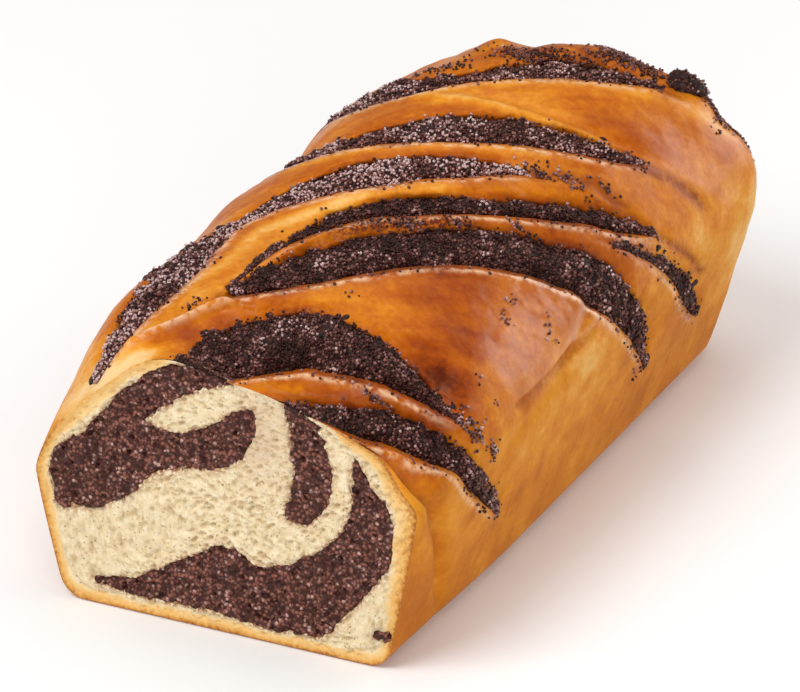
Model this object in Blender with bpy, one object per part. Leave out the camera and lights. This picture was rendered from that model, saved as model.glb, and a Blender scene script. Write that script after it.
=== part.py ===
"""Poppy seed strudel: a twisted yeast loaf baked in a tin, with its near end cut off.

The loaf lies along Y. Its cut end faces -Y, its width is X, and it stands on Z = 0. The dough is one
solid. Every seam of poppy filling that shows on the crown is a wedge of filling that follows the seam
and runs down into the loaf, and the layers that show on the cut end run back into it.
"""

import bmesh
import bpy
import numpy as np

# Lengths are millimetres here, and MM turns them into metres.
MM = 0.001

# Driving dimensions of the loaf
LENGTH = 204.0
BASE_HALF_WIDTH = 44.0
HALF_WIDTH = 55.0
WIDEST_HEIGHT = 44.0
CUT_HEIGHT = 77.0
CROWN_RISE = 6.5
END_FLARE = 7.0
END_ROUNDING = 13.0
CROWN_END_DROP = 22.0
FOOT_ROUNDING = 5.0
SHOULDER = 0.60

# How full the crown's section is: 2 is an ellipse, and more is squarer
FULLNESS = 2.15
WALL_CURVE = 1.15

# The base and the far end are wider than the cut end by this much on each side
FOOT_SPREAD = 2.6
FOOT_SPREAD_REACH = 70.0
END_SPREAD = 2.6

# The crown reaches its full height this far from the cut end, and the far end begins to lean out here
RISE_REACH = 150.0
FLARE_START = 100.0
CROWN_DROP_SHARE = 0.85

# Within this distance of the cut the loaf is less full and narrower, on the left and on the right, and
# the left wall's widest place lies lower
NEAR_REACH = 45.0
FULLNESS_LOSS = (0.60, 0.35)
WIDTH_LOSS = (0.7, 2.8)
LEFT_SAG = 9.5

# The crown sinks in behind the cut, between these places across and along, right of a small lip
CUT_SINK = 6.5
SINK_LEFT = (-0.17, 0.02)
SINK_RIGHT = (0.40, 0.60)
SINK_ALONG = (4.0, 34.0)
LIP_HEIGHT = 2.2
LIP_PLACE = -0.21
LIP_HALF_WIDTH = 0.07
LIP_REACH = 20.0

# The cut end stands this far in front of the middle of the loaf's box
CUT_TO_MIDDLE = 105.5

# The strands lean towards the cut end: this is the direction in which their ridges stand out
LEAN_AZIMUTH = 25.5
LEAN_ELEVATION = 26.6

# Relief of the crown
RIDGE_HEIGHT = 5.0
RIDGE_REACH = 14.0
FILLING_SINK = 3.5
ROLL_RADIUS = 3.0
FILLING_BULGE = 2.0
LEFT_FADE = (-68.0, -46.0)

# The relief lies between these distances over the crown, and the far end rounds off from these stations
RELIEF_REACH = (-74.0, 100.0)
END_STATIONS = (LENGTH - 18.0, LENGTH - 6.0)

# How the relief ends: past the tips of a seam or a crease, where a seam is narrow, at the cut and at the
# far end
SEAM_TIP_FADE = 5.0
CREASE_TIP_FADE = 8.0
NARROW_SEAM = (0.2, 3.0)
CUT_FADE = (0.0, 7.0)
END_FADE = 4.0
SWELL_END_FADE = 9.0

# Filling wedges
WEDGE_DEPTH = 9.0
WEDGE_FULL_WIDTH = 4.0
GAP = 0.3
CROSSING_GAP = 1.2

# Section of a wedge, and of the space above it: share of the half width, share of the depth, and height
WEDGE_PROFILE = (
    (-1, 0, 0), (-0.45, 0, 0), (0.45, 0, 0), (1, 0, 0), (0.4, 1, 0), (-0.4, 1, 0),
)
ABOVE_PROFILE = ((-1, 0.1, 0), (-1, 0, 6.0), (0, 0, 7.0), (1, 0, 6.0), (1, 0.1, 0))

# A wedge is nowhere thinner than this, and at its tips it still runs this far down
LEAST_HALF_WIDTH = 0.7
TIP_DEPTH = 2.0

# Faceting: the spacing of the lines across the crown, down the walls, along the loaf, along a seam and
# round a cut layer
CROWN_STEP = 5.2
WALL_STEPS = (14.0, 8.0)
FOOT_STEP = 2.0
STATION_STEP = 6.2
END_STEPS = (3.0, 2.0)
BASE_COLUMNS = 6
SEAM_STEP = 6.0
LAYER_STEP = 3.4
SMALL_LAYER_STEP = 2.0
FLAT_ANGLE = 1.0

# Each seam: how far its ridge stands out, and points of (distance over the crown from the crest line,
# distance from the cut end, half the width of the filling)
SEAMS = {
    "near_crown": (1.1, [
        (-23, -4, 3.0), (-17, 0, 3.6), (-9, 6, 9.4), (2, 14.5, 10.4), (13, 21, 9.6), (24, 23, 8.0),
        (36, 24, 5.4), (50, 25, 2.4), (60, 28, 0.6),
    ]),
    "near_right": (0.8, [
        (19, -2, 1.8), (27, 1.5, 2.8), (37, 6, 4.4), (47, 12, 4.2), (59, 17, 4.2), (76, 26, 3.4),
        (90, 41, 2.4), (99, 50, 0.7),
    ]),
    "middle": (1.0, [
        (-15, 31, 1.8), (-5, 43, 7.0), (7, 59, 9.0), (19, 72, 7.8), (33, 86, 7.6), (48, 99, 7.4),
        (64, 112.6, 6.9), (84, 128, 3.3), (96, 137, 0.9),
    ]),
    "middle_far": (0.7, [
        (-17, 34, 0.6), (-14, 56, 1.2), (-5, 76, 3.2), (8, 89, 4.7), (23, 100, 3.4), (36, 113, 3.2),
        (51, 130, 2.8), (61, 143, 0.8),
    ]),
    "left_shoulder": (0.8, [
        (-45, 3, 1.2), (-42, 19, 4.4), (-39, 40, 8.4), (-39.5, 58, 7.8), (-34, 74, 3.2), (-21, 91, 6.6),
        (-9, 102, 7.6), (5, 111, 6.2), (18, 119, 2.8), (26, 124, 0.8),
    ]),
    "far_crown": (0.9, [
        (-41, 115, 3.0), (-28, 119, 4.2), (-15, 125, 5.4), (-3, 132, 7.6), (10, 138, 7.2),
        (23, 143, 5.4), (36, 149, 2.6), (46, 157, 0.8),
    ]),
    "end_crown": (0.8, [
        (-49, 151, 3.0), (-38, 153, 7.0), (-24, 157, 6.2), (-12, 162, 3.0), (-1, 170.5, 4.6),
        (10, 176.5, 4.2), (23, 181.5, 2.8), (34, 185, 1.2),
    ]),
    "right_arc": (0.6, [
        (54, 123, 0.7), (61, 132, 1.4), (70, 143, 2.2), (80, 153, 2.8), (92, 165, 2.0), (97, 171, 0.9),
    ]),
}

# Behind a seam the next strand rolls up over this distance, or over its own
WIDE_ROLLS = {"near_crown": 8.0}

# Swells of the crown: distance over the crown, distance from the cut end, reach each way, and height
SWELLS = {
    "near_pillow": (48, 0, 10, 5, 3.0),
    "left_near": (-53, 46, 16, 24, 2.9),
    "left_middle": (-54, 98, 12, 12, 1.6),
    "left_notch": (-48, 126, 14, 9, -2.4),
    "left_dip": (-57, 140, 9, 7, -3.6),
    "left_end": (-41, 187, 18, 16, -5.8),
    "right_end": (42, 198, 22, 18, 3.4),
    "end_hump": (-15, 187, 4.5, 5, 1.6),
    "end_saddle": (-8, 192, 5, 8, -1.8),
    "end_top": (12, 193, 12, 8, 1.9),
    "right_tail": (50, 196, 5, 7, -1.8),
    "right_bulge": (64, 196, 7, 10, 1.0),
}

# The lump of filling at the far end: distance over the crown and from the cut end, half its length along
# the edge, half its width, half its height, and how far it is turned about the upright. It slopes down
# along the edge.
LUMPS = {"end_lump": ((37.0, 192.2), (5.8, 4.2, 4.4), -30.0)}
LUMP_SLOPE = 0.35
LUMP_TIP = 0.96
LUMP_RINGS = 7
LUMP_SIDES = 12

# Layers on the cut end: points of (distance right of the middle, height), rounded by a closed curve,
# how far the layer runs into the loaf, and how much smaller it gets there
CUT_LAYERS = {
    "near_crown": ([
        (-50.6, 39), (-41, 48), (-30, 61), (-20, 69.5), (-11, 73.2), (2, 70.6), (-3, 68.6), (-12, 64),
        (-20, 58), (-22.5, 54.2), (-14, 53.4), (-6, 56.6), (1, 62), (7, 63.4), (6.4, 55), (0, 46.6),
        (-10, 44), (-21, 39.6), (-30, 31), (-40, 26.6), (-48.6, 26),
    ], 13.0, 0.86),
    "near_right": ([
        (15.8, 68.4), (17.4, 58), (17.6, 46), (15.6, 36), (22.6, 35.6), (27.6, 44), (28, 53), (25, 62),
        (25.6, 64.2),
    ], 9.0, 0.94),
    "lower_swirl": ([
        (34.6, 57), (39, 51), (44.6, 43), (44.8, 31), (38.4, 19), (31, 11), (25, 4.4), (10, 3.4),
        (-8, 4.2), (-26, 4.2), (-39, 5.8), (-26, 9.8), (-15, 17), (-1, 24.4), (8, 20.6), (18, 24),
        (29.6, 33), (33.6, 43),
    ], 150.0, 0.72),
    "right_spot": ([(40, 8), (43, 10), (45.6, 8.6), (43, 6.6)], 24.0, 0.8),
}

# A layer starts this far in front of the cut, which is then trimmed, and by this share of its depth it is
# half drawn together. One with no more points than this is small.
IN_FRONT = 3.0
DRAWN_IN_BY = 0.1
SMALL_LAYER_POINTS = 5

# Seams whose wedges reach into a layer that runs on below them
LAYERS_CROSSED = {"lower_swirl": ("near_crown", "near_right")}

# Creases in the dough where strands press together: depth, half width, and points as in SEAMS
CREASES = {
    "near_shoulder": (2.6, 2.6, [
        (41, 1), (49, 4.6), (57, 6), (66, 6.3), (74, 7.6), (82, 11.5), (90, 16), (98, 19.5), (107, 23),
    ]),
    "broad_lobe": (0.9, 3.0, [(62, 101), (69, 84), (74, 66), (76, 52)]),
}


def smooth(x, low, high):
    """0 below low, 1 above high, and an even curve between."""
    t = np.clip((x - low) / (high - low), 0.0, 1.0)
    return t * t * (3.0 - 2.0 * t)


def rounding(v, start, radius):
    """How far a quarter circle that begins at start has turned in."""
    e = np.clip((v - start) / radius, 0.0, 0.999)
    return radius * (1.0 - np.sqrt(1.0 - e * e))


def loaf(phi, v):
    """Points of the plain loaf, for phi from -1, the left foot, over the crest at 0 to 1, the right foot."""
    side = np.sign(phi)
    a = np.abs(phi)
    near = np.clip(1.0 - v / NEAR_REACH, 0.0, 1.0) ** 2
    left = phi < 0.0
    power = FULLNESS - np.where(left, *FULLNESS_LOSS) * near
    width = HALF_WIDTH + END_SPREAD * np.clip(v / LENGTH, 0.0, 1.0) - np.where(left, *WIDTH_LOSS) * near
    widest = WIDEST_HEIGHT - np.where(left, LEFT_SAG, 0.0) * near
    base = BASE_HALF_WIDTH + FOOT_SPREAD * np.where(left, 1.0, smooth(v, 0.0, FOOT_SPREAD_REACH))
    height = CUT_HEIGHT + CROWN_RISE * np.sin(np.clip(v / RISE_REACH, 0.0, 1.0) * np.pi / 2)
    height = height - CROWN_DROP_SHARE * rounding(v, LENGTH - CROWN_END_DROP, CROWN_END_DROP)
    inset = rounding(v, LENGTH - END_ROUNDING, END_ROUNDING)
    angle = np.clip(a / SHOULDER, 0.0, 1.0) * np.pi / 2
    x_top = (width - inset) * np.sin(angle) ** (2.0 / power)
    z_top = widest + (height - widest) * np.cos(angle) ** (2.0 / power)
    q = np.clip((a - SHOULDER) / (1.0 - SHOULDER), 0.0, 1.0)
    z_side = widest * (1.0 - q)
    foot = np.clip(1.0 - z_side / FOOT_ROUNDING, 0.0, 0.999)
    x_side = width + (base - width) * q**WALL_CURVE - inset
    x_side = x_side - FOOT_ROUNDING * (1.0 - np.sqrt(1.0 - foot * foot))
    on_top = a <= SHOULDER
    x = side * np.where(on_top, x_top, x_side)
    z = np.where(on_top, z_top, z_side)
    sunk = smooth(phi, *SINK_LEFT) * (1.0 - smooth(phi, *SINK_RIGHT)) * (1.0 - smooth(v, *SINK_ALONG))
    lip = np.exp(-(((phi - LIP_PLACE) / LIP_HALF_WIDTH) ** 2)) * (1.0 - smooth(v, 0.0, LIP_REACH))
    z = z - CUT_SINK * sunk + LIP_HEIGHT * lip
    leaning = np.clip((v - FLARE_START) / (LENGTH - FLARE_START), 0.0, 1.0) ** 2
    y = v + END_FLARE * leaning * np.clip(z / WIDEST_HEIGHT, 0.0, 1.0)
    return np.stack([x, y, z], -1)


def crown_scale():
    """Distance over the crown from the crest line, for phi from -1 to 1, half way along the loaf."""
    phi = np.linspace(-1.0, 1.0, 801)
    line = loaf(phi, np.full(phi.shape, LENGTH / 2))
    steps = np.linalg.norm(np.diff(line, axis=0), axis=1)
    s = np.concatenate([[0.0], np.cumsum(steps)])
    return phi, s - s[len(s) // 2]


PHI, S = crown_scale()


def on_loaf(s, v):
    return loaf(np.interp(s, S, PHI), v)


def outward(s, v):
    """Unit normals of the plain loaf."""
    across = on_loaf(s + 0.5, v) - on_loaf(s - 0.5, v)
    along = on_loaf(s, v + 0.5) - on_loaf(s, v - 0.5)
    normal = np.cross(across, along)
    return normal / np.linalg.norm(normal, axis=-1, keepdims=True)


def lean():
    a, e = np.radians([LEAN_AZIMUTH, LEAN_ELEVATION])
    return np.array([np.sin(a) * np.cos(e), -np.cos(a) * np.cos(e), np.sin(e)])


def curve(points, step, closed=False):
    """Points about step apart on a smooth curve through the given ones."""
    p = np.array(points, float)
    count = len(p)
    if closed:
        around = np.concatenate([p[-1:], p, p[:2]])
    else:
        around = np.concatenate([2 * p[:1] - p[1:2], p, 2 * p[-1:] - p[-2:-1]])
        count -= 1
    t = np.linspace(0.0, 1.0, 24, endpoint=False)[:, None]
    pieces = []
    for i in range(count):
        a, b, c, d = around[i : i + 4]
        pieces.append(b + 0.5 * t * (c - a + t * (2 * a - 5 * b + 4 * c - d + t * (3 * (b - c) + d - a))))
    dense = np.concatenate(pieces + [p[:1] if closed else p[-1:]])
    run = np.concatenate([[0.0], np.cumsum(np.linalg.norm(np.diff(dense[:, :2], axis=0), axis=1))])
    marks = np.linspace(0.0, run[-1], max(3, int(round(run[-1] / step)) + 1))
    even = np.stack([np.interp(marks, run, dense[:, k]) for k in range(p.shape[1])], -1)
    return even[:-1] if closed else even


def beside(path, s, v):
    """Where points lie beside a path: distance to its far side, index of the nearest point, overshoot."""
    tangent = np.gradient(path[:, :2], axis=0)
    tangent /= np.linalg.norm(tangent, axis=1, keepdims=True)
    ds = s[..., None] - path[:, 0]
    dv = v[..., None] - path[:, 1]
    nearest = np.argmin(ds * ds + dv * dv, axis=-1)
    ds = np.take_along_axis(ds, nearest[..., None], -1)[..., 0]
    dv = np.take_along_axis(dv, nearest[..., None], -1)[..., 0]
    ts, tv = tangent[nearest, 0], tangent[nearest, 1]
    return dv * ts - ds * tv, nearest, np.abs(ds * ts + dv * tv)


def seam_relief(name, s, v):
    """How far a seam moves the dough and its own filling along the lean, at points of the crown.

    The dough rises to a crest along the seam's near edge. The filling starts low behind that crest and
    rises to its far edge, where the next strand rolls up over it.
    """
    strength, points = SEAMS[name]
    roll = WIDE_ROLLS.get(name, ROLL_RADIUS)
    path = curve(points, 1.0)
    e, nearest, beyond = beside(path, s, v)
    half = path[nearest, 2]
    fade = np.exp(-((beyond / SEAM_TIP_FADE) ** 2)) * smooth(half, *NARROW_SEAM)
    half = np.maximum(half, 0.3)
    near = e + half
    far = e - half
    ridge = RIDGE_HEIGHT * strength * fade
    sink = FILLING_SINK * fade
    low = -ridge * np.exp(-np.maximum(near, 0.0) / RIDGE_REACH)
    behind = low - sink * np.exp(-np.maximum(far, 0.0) / roll)
    crest = ridge * np.exp(np.minimum(near, 0.0) / RIDGE_REACH)
    across = np.clip(0.5 * near / half, 0.0, 1.0)
    dough = crest * (1.0 - across) + behind * across
    bulge = FILLING_BULGE * fade * np.clip(1.0 - (e / half) ** 2, 0.0, 1.0)
    return dough, low - sink + bulge


def crease_relief(s, v):
    inward = np.zeros(np.shape(s))
    for depth, half_width, points in CREASES.values():
        e, _, beyond = beside(curve(points, 1.0), s, v)
        inward -= depth * np.exp(-((e / half_width) ** 2) - (beyond / CREASE_TIP_FADE) ** 2)
    return inward


def swell_relief(s, v):
    """How far the swells stand out from the plain crown."""
    total = np.zeros(np.shape(s))
    for at_s, at_v, reach_s, reach_v, height in SWELLS.values():
        total += height * np.exp(-(((s - at_s) / reach_s) ** 2) - ((v - at_v) / reach_v) ** 2)
    return total * (1.0 - smooth(v, LENGTH - SWELL_END_FADE, LENGTH))


def crown_points(s, v, own=None):
    """Points of the baked surface, or of the filling of one seam."""
    shift = np.zeros(np.shape(s))
    for name in SEAMS:
        dough, filling = seam_relief(name, s, v)
        shift += filling if name == own else dough
    shift *= smooth(v, *CUT_FADE) * (1.0 - smooth(v, LENGTH - END_FADE, LENGTH)) * smooth(s, *LEFT_FADE)
    points = on_loaf(s, v) + shift[..., None] * lean()
    out = crease_relief(s, v) * smooth(v, *CUT_FADE) + swell_relief(s, v)
    return points + out[..., None] * outward(s, v)


def material(name, colour, roughness):
    made = bpy.data.materials.new(name)
    made.use_nodes = True
    shader = made.node_tree.nodes["Principled BSDF"]
    shader.inputs["Base Color"].default_value = (*colour, 1.0)
    shader.inputs["Roughness"].default_value = roughness
    shader.inputs["Metallic"].default_value = 0.0
    return made


def solid(name, points, faces, look=None):
    """A mesh object from points in the loaf's own frame, moved so that the box's middle is at Y = 0."""
    mesh = bpy.data.meshes.new(name)
    placed = (np.asarray(points, float) - (0.0, CUT_TO_MIDDLE, 0.0)) * MM
    mesh.from_pydata(placed.tolist(), [], [tuple(face) for face in faces])
    work = bmesh.new()
    work.from_mesh(mesh)
    bmesh.ops.remove_doubles(work, verts=work.verts, dist=0.02 * MM)
    bmesh.ops.triangulate(work, faces=work.faces)
    bmesh.ops.recalc_face_normals(work, faces=work.faces)
    work.to_mesh(mesh)
    work.free()
    made = bpy.data.objects.new(name, mesh)
    bpy.context.scene.collection.objects.link(made)
    if look:
        mesh.materials.append(look)
    return made


def tube(name, rings, look=None):
    """A closed solid through rings of equally many points, with flat ends."""
    rings = np.asarray(rings)
    rows, columns = rings.shape[:2]
    faces = []
    for i in range(rows - 1):
        for j in range(columns):
            k = (j + 1) % columns
            faces.append((i * columns + j, i * columns + k, (i + 1) * columns + k, (i + 1) * columns + j))
    faces.append(range(columns))
    faces.append(range((rows - 1) * columns, rows * columns))
    return solid(name, rings.reshape(-1, 3), faces, look)


def spaced(stops, steps):
    """Marks from stop to stop, each stretch cut into steps of about the given length."""
    marks = [np.array([stops[0]])]
    for low, high, step in zip(stops, stops[1:], steps):
        count = max(1, int(round((high - low) / step)))
        marks.append(np.linspace(low, high, count + 1)[1:])
    return np.concatenate(marks)


def dough_block(look):
    """The loaf before the filling's space is cut out of it. Its near end is flat."""
    foot = S[-1]
    s = spaced(
        (-foot, 2 * FOOT_STEP - foot, *RELIEF_REACH, foot - 2 * FOOT_STEP, foot),
        (FOOT_STEP, WALL_STEPS[0], CROWN_STEP, WALL_STEPS[1], FOOT_STEP),
    )
    v = spaced((0.0, *END_STATIONS, LENGTH), (STATION_STEP, *END_STEPS))
    grid_v, grid_s = np.meshgrid(v, s, indexing="ij")
    crown = crown_points(grid_s, grid_v)
    crown[0, :, 1] = 0.0
    under = np.linspace(1.0, -1.0, BASE_COLUMNS + 2)[1:-1, None]
    middle = 0.5 * (crown[:, :1] + crown[:, -1:])
    half = 0.5 * (crown[:, -1:] - crown[:, :1])
    return tube("dough", np.concatenate([crown, middle + under * half], axis=1), look)


def wedge(name, seam_name, profile=WEDGE_PROFILE, look=None):
    """A seam's filling: its top follows the crown, and its lower edge is sunk into the loaf."""
    path = curve(SEAMS[seam_name][1], SEAM_STEP)
    tangent = np.gradient(path[:, :2], axis=0)
    tangent /= np.linalg.norm(tangent, axis=1, keepdims=True)
    side = np.stack([-tangent[:, 1], tangent[:, 0]], -1)
    half = np.maximum(path[:, 2], LEAST_HALF_WIDTH)
    lower = WEDGE_DEPTH * smooth(half, 0.0, WEDGE_FULL_WIDTH) + TIP_DEPTH
    rings = []
    for fraction, depth, height in profile:
        at = path[:, :2] + side * (fraction * half)[:, None]
        point = crown_points(at[:, 0], at[:, 1], seam_name)
        rings.append(point + outward(at[:, 0], at[:, 1]) * (height - depth * lower)[:, None])
    return tube(name, np.stack(rings, axis=1), look)


def grown(outline, grow):
    ahead = np.roll(outline, -1, axis=0) - np.roll(outline, 1, axis=0)
    ahead /= np.linalg.norm(ahead, axis=1, keepdims=True)
    turned = np.stack([ahead[:, 1], -ahead[:, 0]], -1)
    area = np.sum(outline[:, 0] * np.roll(outline[:, 1], -1) - outline[:, 1] * np.roll(outline[:, 0], -1))
    return outline + np.sign(area) * grow * turned


def cut_layer(name, layer_name, grow, look=None):
    """A layer of the cut end, run back into the loaf and drawn together as it goes."""
    points, depth, end_size = CUT_LAYERS[layer_name]
    step = LAYER_STEP if len(points) > SMALL_LAYER_POINTS else SMALL_LAYER_STEP
    outline = grown(curve(points, step, closed=True), grow)
    middle = outline.mean(axis=0)
    shoulder = (DRAWN_IN_BY * depth, 0.5 * (1.0 + end_size))
    stations = [(-IN_FRONT, 1.0), (0.0, 1.0), shoulder, (depth + grow, end_size)]
    rings = []
    for y, size in stations:
        flat = middle + (outline - middle) * size
        rings.append(np.stack([flat[:, 0], np.full(len(flat), y), flat[:, 1]], -1))
    return tube(name, rings, look)


def lump(name, lump_name, grow, look=None):
    """A rounded lump that sits half sunk in the crown."""
    (s, v), radii, turn = LUMPS[lump_name]
    centre = crown_points(np.array(s), np.array(v))
    long, wide, high = np.array(radii) + grow
    c, d = np.cos(np.radians(turn)), np.sin(np.radians(turn))
    around = np.linspace(0.0, 2.0 * np.pi, LUMP_SIDES, endpoint=False)
    rings = []
    for along in np.linspace(-LUMP_TIP, LUMP_TIP, LUMP_RINGS):
        size = np.sqrt(1.0 - along * along)
        flat = wide * size * np.cos(around)
        x = long * along * c + flat * d
        y = -long * along * d + flat * c
        z = high * size * np.sin(around) - LUMP_SLOPE * long * along
        rings.append(centre + np.stack([x, y, z], -1))
    return tube(name, rings, look)


def slab_in_front(name):
    """Everything in front of the cut end."""
    across = ((-90, -30), (90, -30), (90, 130), (-90, 130))
    corners = [(x, y, z) for y in (-30.0, 0.0) for x, z in across]
    faces = [(0, 1, 2, 3), (4, 5, 6, 7), (0, 1, 5, 4), (1, 2, 6, 5), (2, 3, 7, 6), (3, 0, 4, 7)]
    return solid(name, corners, faces)


def combine(target, other, operation, solver="EXACT"):
    """Applies a Boolean and removes the second object."""
    modifier = target.modifiers.new(operation.lower(), "BOOLEAN")
    modifier.operation = operation
    modifier.solver = solver
    modifier.object = other
    bpy.context.view_layer.update()
    graph = bpy.context.evaluated_depsgraph_get()
    result = bpy.data.meshes.new_from_object(target.evaluated_get(graph))
    target.modifiers.clear()
    target.data = result
    bpy.data.objects.remove(other)


def filling(name, look):
    """One layer or seam of filling: its wedge, its cut layer or its lump, joined where it has two."""
    made = wedge(name, name, look=look) if name in SEAMS else None
    if name in LUMPS:
        made = lump(name, name, 0.0, look)
    if name in CUT_LAYERS:
        layer = cut_layer(name + "_layer", name, 0.0, look)
        if made:
            combine(made, layer, "UNION")
        else:
            made = layer
        combine(made, slab_in_front("front"), "DIFFERENCE")
    made.name = "filling_" + name
    return made


def swollen(made, gap):
    """The same triangles, each point moved out along its normal."""
    work = bmesh.new()
    work.from_mesh(made.data)
    moves = [vert.normal * vert.calc_shell_factor() * gap * MM for vert in work.verts]
    for vert, move in zip(work.verts, moves):
        vert.co += move
    work.to_mesh(made.data)
    work.free()
    return made


def make_room(target, name, gap=GAP):
    """Cuts the space of a filling, and a gap round it."""
    rooms = []
    if name in SEAMS:
        rooms += [swollen(wedge("room", name), gap), wedge("above", name, ABOVE_PROFILE)]
    if name in CUT_LAYERS:
        rooms.append(cut_layer("room", name, gap))
    if name in LUMPS:
        rooms.append(lump("room", name, gap))
    for room in rooms:
        combine(target, room, "DIFFERENCE", "MANIFOLD")


def keep_largest(target):
    """Drops loose scraps that the cuts leave."""
    work = bmesh.new()
    work.from_mesh(target.data)
    work.verts.ensure_lookup_table()
    seen = set()
    groups = []
    for start in work.verts:
        if start in seen:
            continue
        group, queue = [], [start]
        seen.add(start)
        while queue:
            vert = queue.pop()
            group.append(vert)
            for edge in vert.link_edges:
                other = edge.other_vert(vert)
                if other not in seen:
                    seen.add(other)
                    queue.append(other)
        groups.append(group)
    groups.sort(key=len)
    for group in groups[:-1]:
        bmesh.ops.delete(work, geom=group, context="VERTS")
    work.to_mesh(target.data)
    work.free()


def merge_flat(target):
    """Joins the triangles of each nearly flat stretch, which the cuts leave finely split."""
    work = bmesh.new()
    work.from_mesh(target.data)
    bmesh.ops.dissolve_limit(
        work, angle_limit=np.radians(FLAT_ANGLE), verts=work.verts, edges=work.edges
    )
    bmesh.ops.triangulate(work, faces=work.faces)
    work.to_mesh(target.data)
    work.free()


def main():
    for old in list(bpy.data.objects):
        bpy.data.objects.remove(old)
    dough = dough_block(material("baked_dough", (0.56, 0.27, 0.07), 0.42))
    for name in sorted(set(SEAMS) | set(CUT_LAYERS) | set(LUMPS)):
        made = filling(name, material("poppy_filling_" + name, (0.045, 0.028, 0.028), 0.7))
        make_room(dough, name)
        for crossed in LAYERS_CROSSED.get(name, ()):
            make_room(made, crossed, CROSSING_GAP)
    keep_largest(dough)
    merge_flat(dough)


main()
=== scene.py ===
"""The looks of the poppy seed strudel: glazed crust, porous crumb, poppy paste and its seeds.

The shapes are worked out in the loaf's own frame, in millimetres: x across, y from the cut end along the
loaf, z up. MM and CUT_TO_MIDDLE bring them into the frame of the CAD parts.
"""

from itertools import product

import bpy
import numpy as np
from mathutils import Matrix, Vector


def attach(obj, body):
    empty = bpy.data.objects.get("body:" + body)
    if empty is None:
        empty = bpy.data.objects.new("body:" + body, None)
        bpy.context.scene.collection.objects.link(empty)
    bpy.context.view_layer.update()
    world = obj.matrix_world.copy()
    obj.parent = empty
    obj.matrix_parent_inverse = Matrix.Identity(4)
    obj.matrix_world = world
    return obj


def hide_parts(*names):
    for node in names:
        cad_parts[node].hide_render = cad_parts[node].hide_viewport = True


MM = 0.001
CUT_TO_MIDDLE = 105.5

# Driving dimensions of the loaf, as in the solids
LENGTH = 204.0
BASE_HALF_WIDTH = 44.0
HALF_WIDTH = 55.0
WIDEST_HEIGHT = 44.0
CUT_HEIGHT = 77.0
CROWN_RISE = 6.5
END_FLARE = 7.0
END_ROUNDING = 13.0
CROWN_END_DROP = 22.0
FOOT_ROUNDING = 5.0
SHOULDER = 0.60

# How full the crown's section is: 2 is an ellipse, and more is squarer
FULLNESS = 2.15
WALL_CURVE = 1.15

# The base and the far end are wider than the cut end by this much on each side
FOOT_SPREAD = 2.6
FOOT_SPREAD_REACH = 70.0
END_SPREAD = 2.6

# The crown reaches its full height this far from the cut end, and the far end begins to lean out here
RISE_REACH = 150.0
FLARE_START = 100.0
CROWN_DROP_SHARE = 0.85

# Within this distance of the cut the loaf is less full and narrower, on the left and on the right, and
# the left wall's widest place lies lower
NEAR_REACH = 45.0
FULLNESS_LOSS = (0.60, 0.35)
WIDTH_LOSS = (0.7, 2.8)
LEFT_SAG = 9.5

# The crown sinks in behind the cut, between these places across and along, right of a small lip
CUT_SINK = 6.5
SINK_LEFT = (-0.17, 0.02)
SINK_RIGHT = (0.40, 0.60)
SINK_ALONG = (4.0, 34.0)
LIP_HEIGHT = 2.2
LIP_PLACE = -0.21
LIP_HALF_WIDTH = 0.07
LIP_REACH = 20.0

# The strands' crests stand out this way
LEAN_AZIMUTH = 25.5
LEAN_ELEVATION = 26.6

# Relief of the crown
RIDGE_HEIGHT = 5.0
RIDGE_REACH = 14.0
FILLING_SINK = 3.5
ROLL_RADIUS = 2.6
CREST_RADIUS = 1.6
CREST_DROP = 1.6
FILLING_BULGE = 2.0
UNDER_FILLING = 2.4
LEFT_FADE = (-68.0, -46.0)

# The relief fades out over these distances beyond the tips of a seam, a crease, a line and a sheen, in
# narrow seams, at the cut and at the far end
SEAM_TIP_FADE = 5.0
CREASE_TIP_FADE = 8.0
LINE_TIP_FADE = 2.0
SHEEN_TIP_FADE = 5.0
NARROW_SEAM = (0.2, 3.0)
LEAST_HALF_WIDTH = 0.3
CUT_FADE = (-1.0, 5.0)
LINE_CUT_FADE = (-1.0, 4.0)
END_FADE = 4.0
SWELL_END_FADE = 9.0

# How a seam's edges stray: amount, size of the hills and their seed. The near edge strays less.
RAGGED = ((0.75, 8.0, 40), (0.45, 2.4, 42))
RAGGED_NEAR_SHARE = 0.55
RAGGED_WIDTHS = (0.5, 3.5)

# A line begins and ends over these shares of its length
LINE_START = (0.0, 0.18)
LINE_END = (0.82, 1.0)

# Steps along the paths of seams and lines, of creases and sheens, and round the layers on the cut
PATH_STEP = 0.8
COARSE_STEP = 1.0
LAYER_STEP = 0.9
GLOSS_STEP = 3.0
CURVE_SAMPLES = 24

# Steps of the crust's grid over the crown and along the loaf, and the places where they change
CRUST_STOPS = (-74.0, 102.0)
CRUST_STEPS = (2.6, 0.62, 2.2)
CRUST_STOPS_ALONG = (0.0, 6.0, LENGTH - 16.0, LENGTH - 4.0, LENGTH)
CRUST_STEPS_ALONG = (0.4, 0.68, 0.8, 0.5)

# Points across the underside, and the rings of the far end and of the cut, with the points along their
# bottoms and the place that they close in on
UNDERSIDE_POINTS = 40
END_RINGS = 30
END_BOTTOM_POINTS = 60
CUT_RINGS = 175
CUT_BOTTOM_POINTS = 150
RINGS_CENTRE = (0.0, 36.0)

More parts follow.
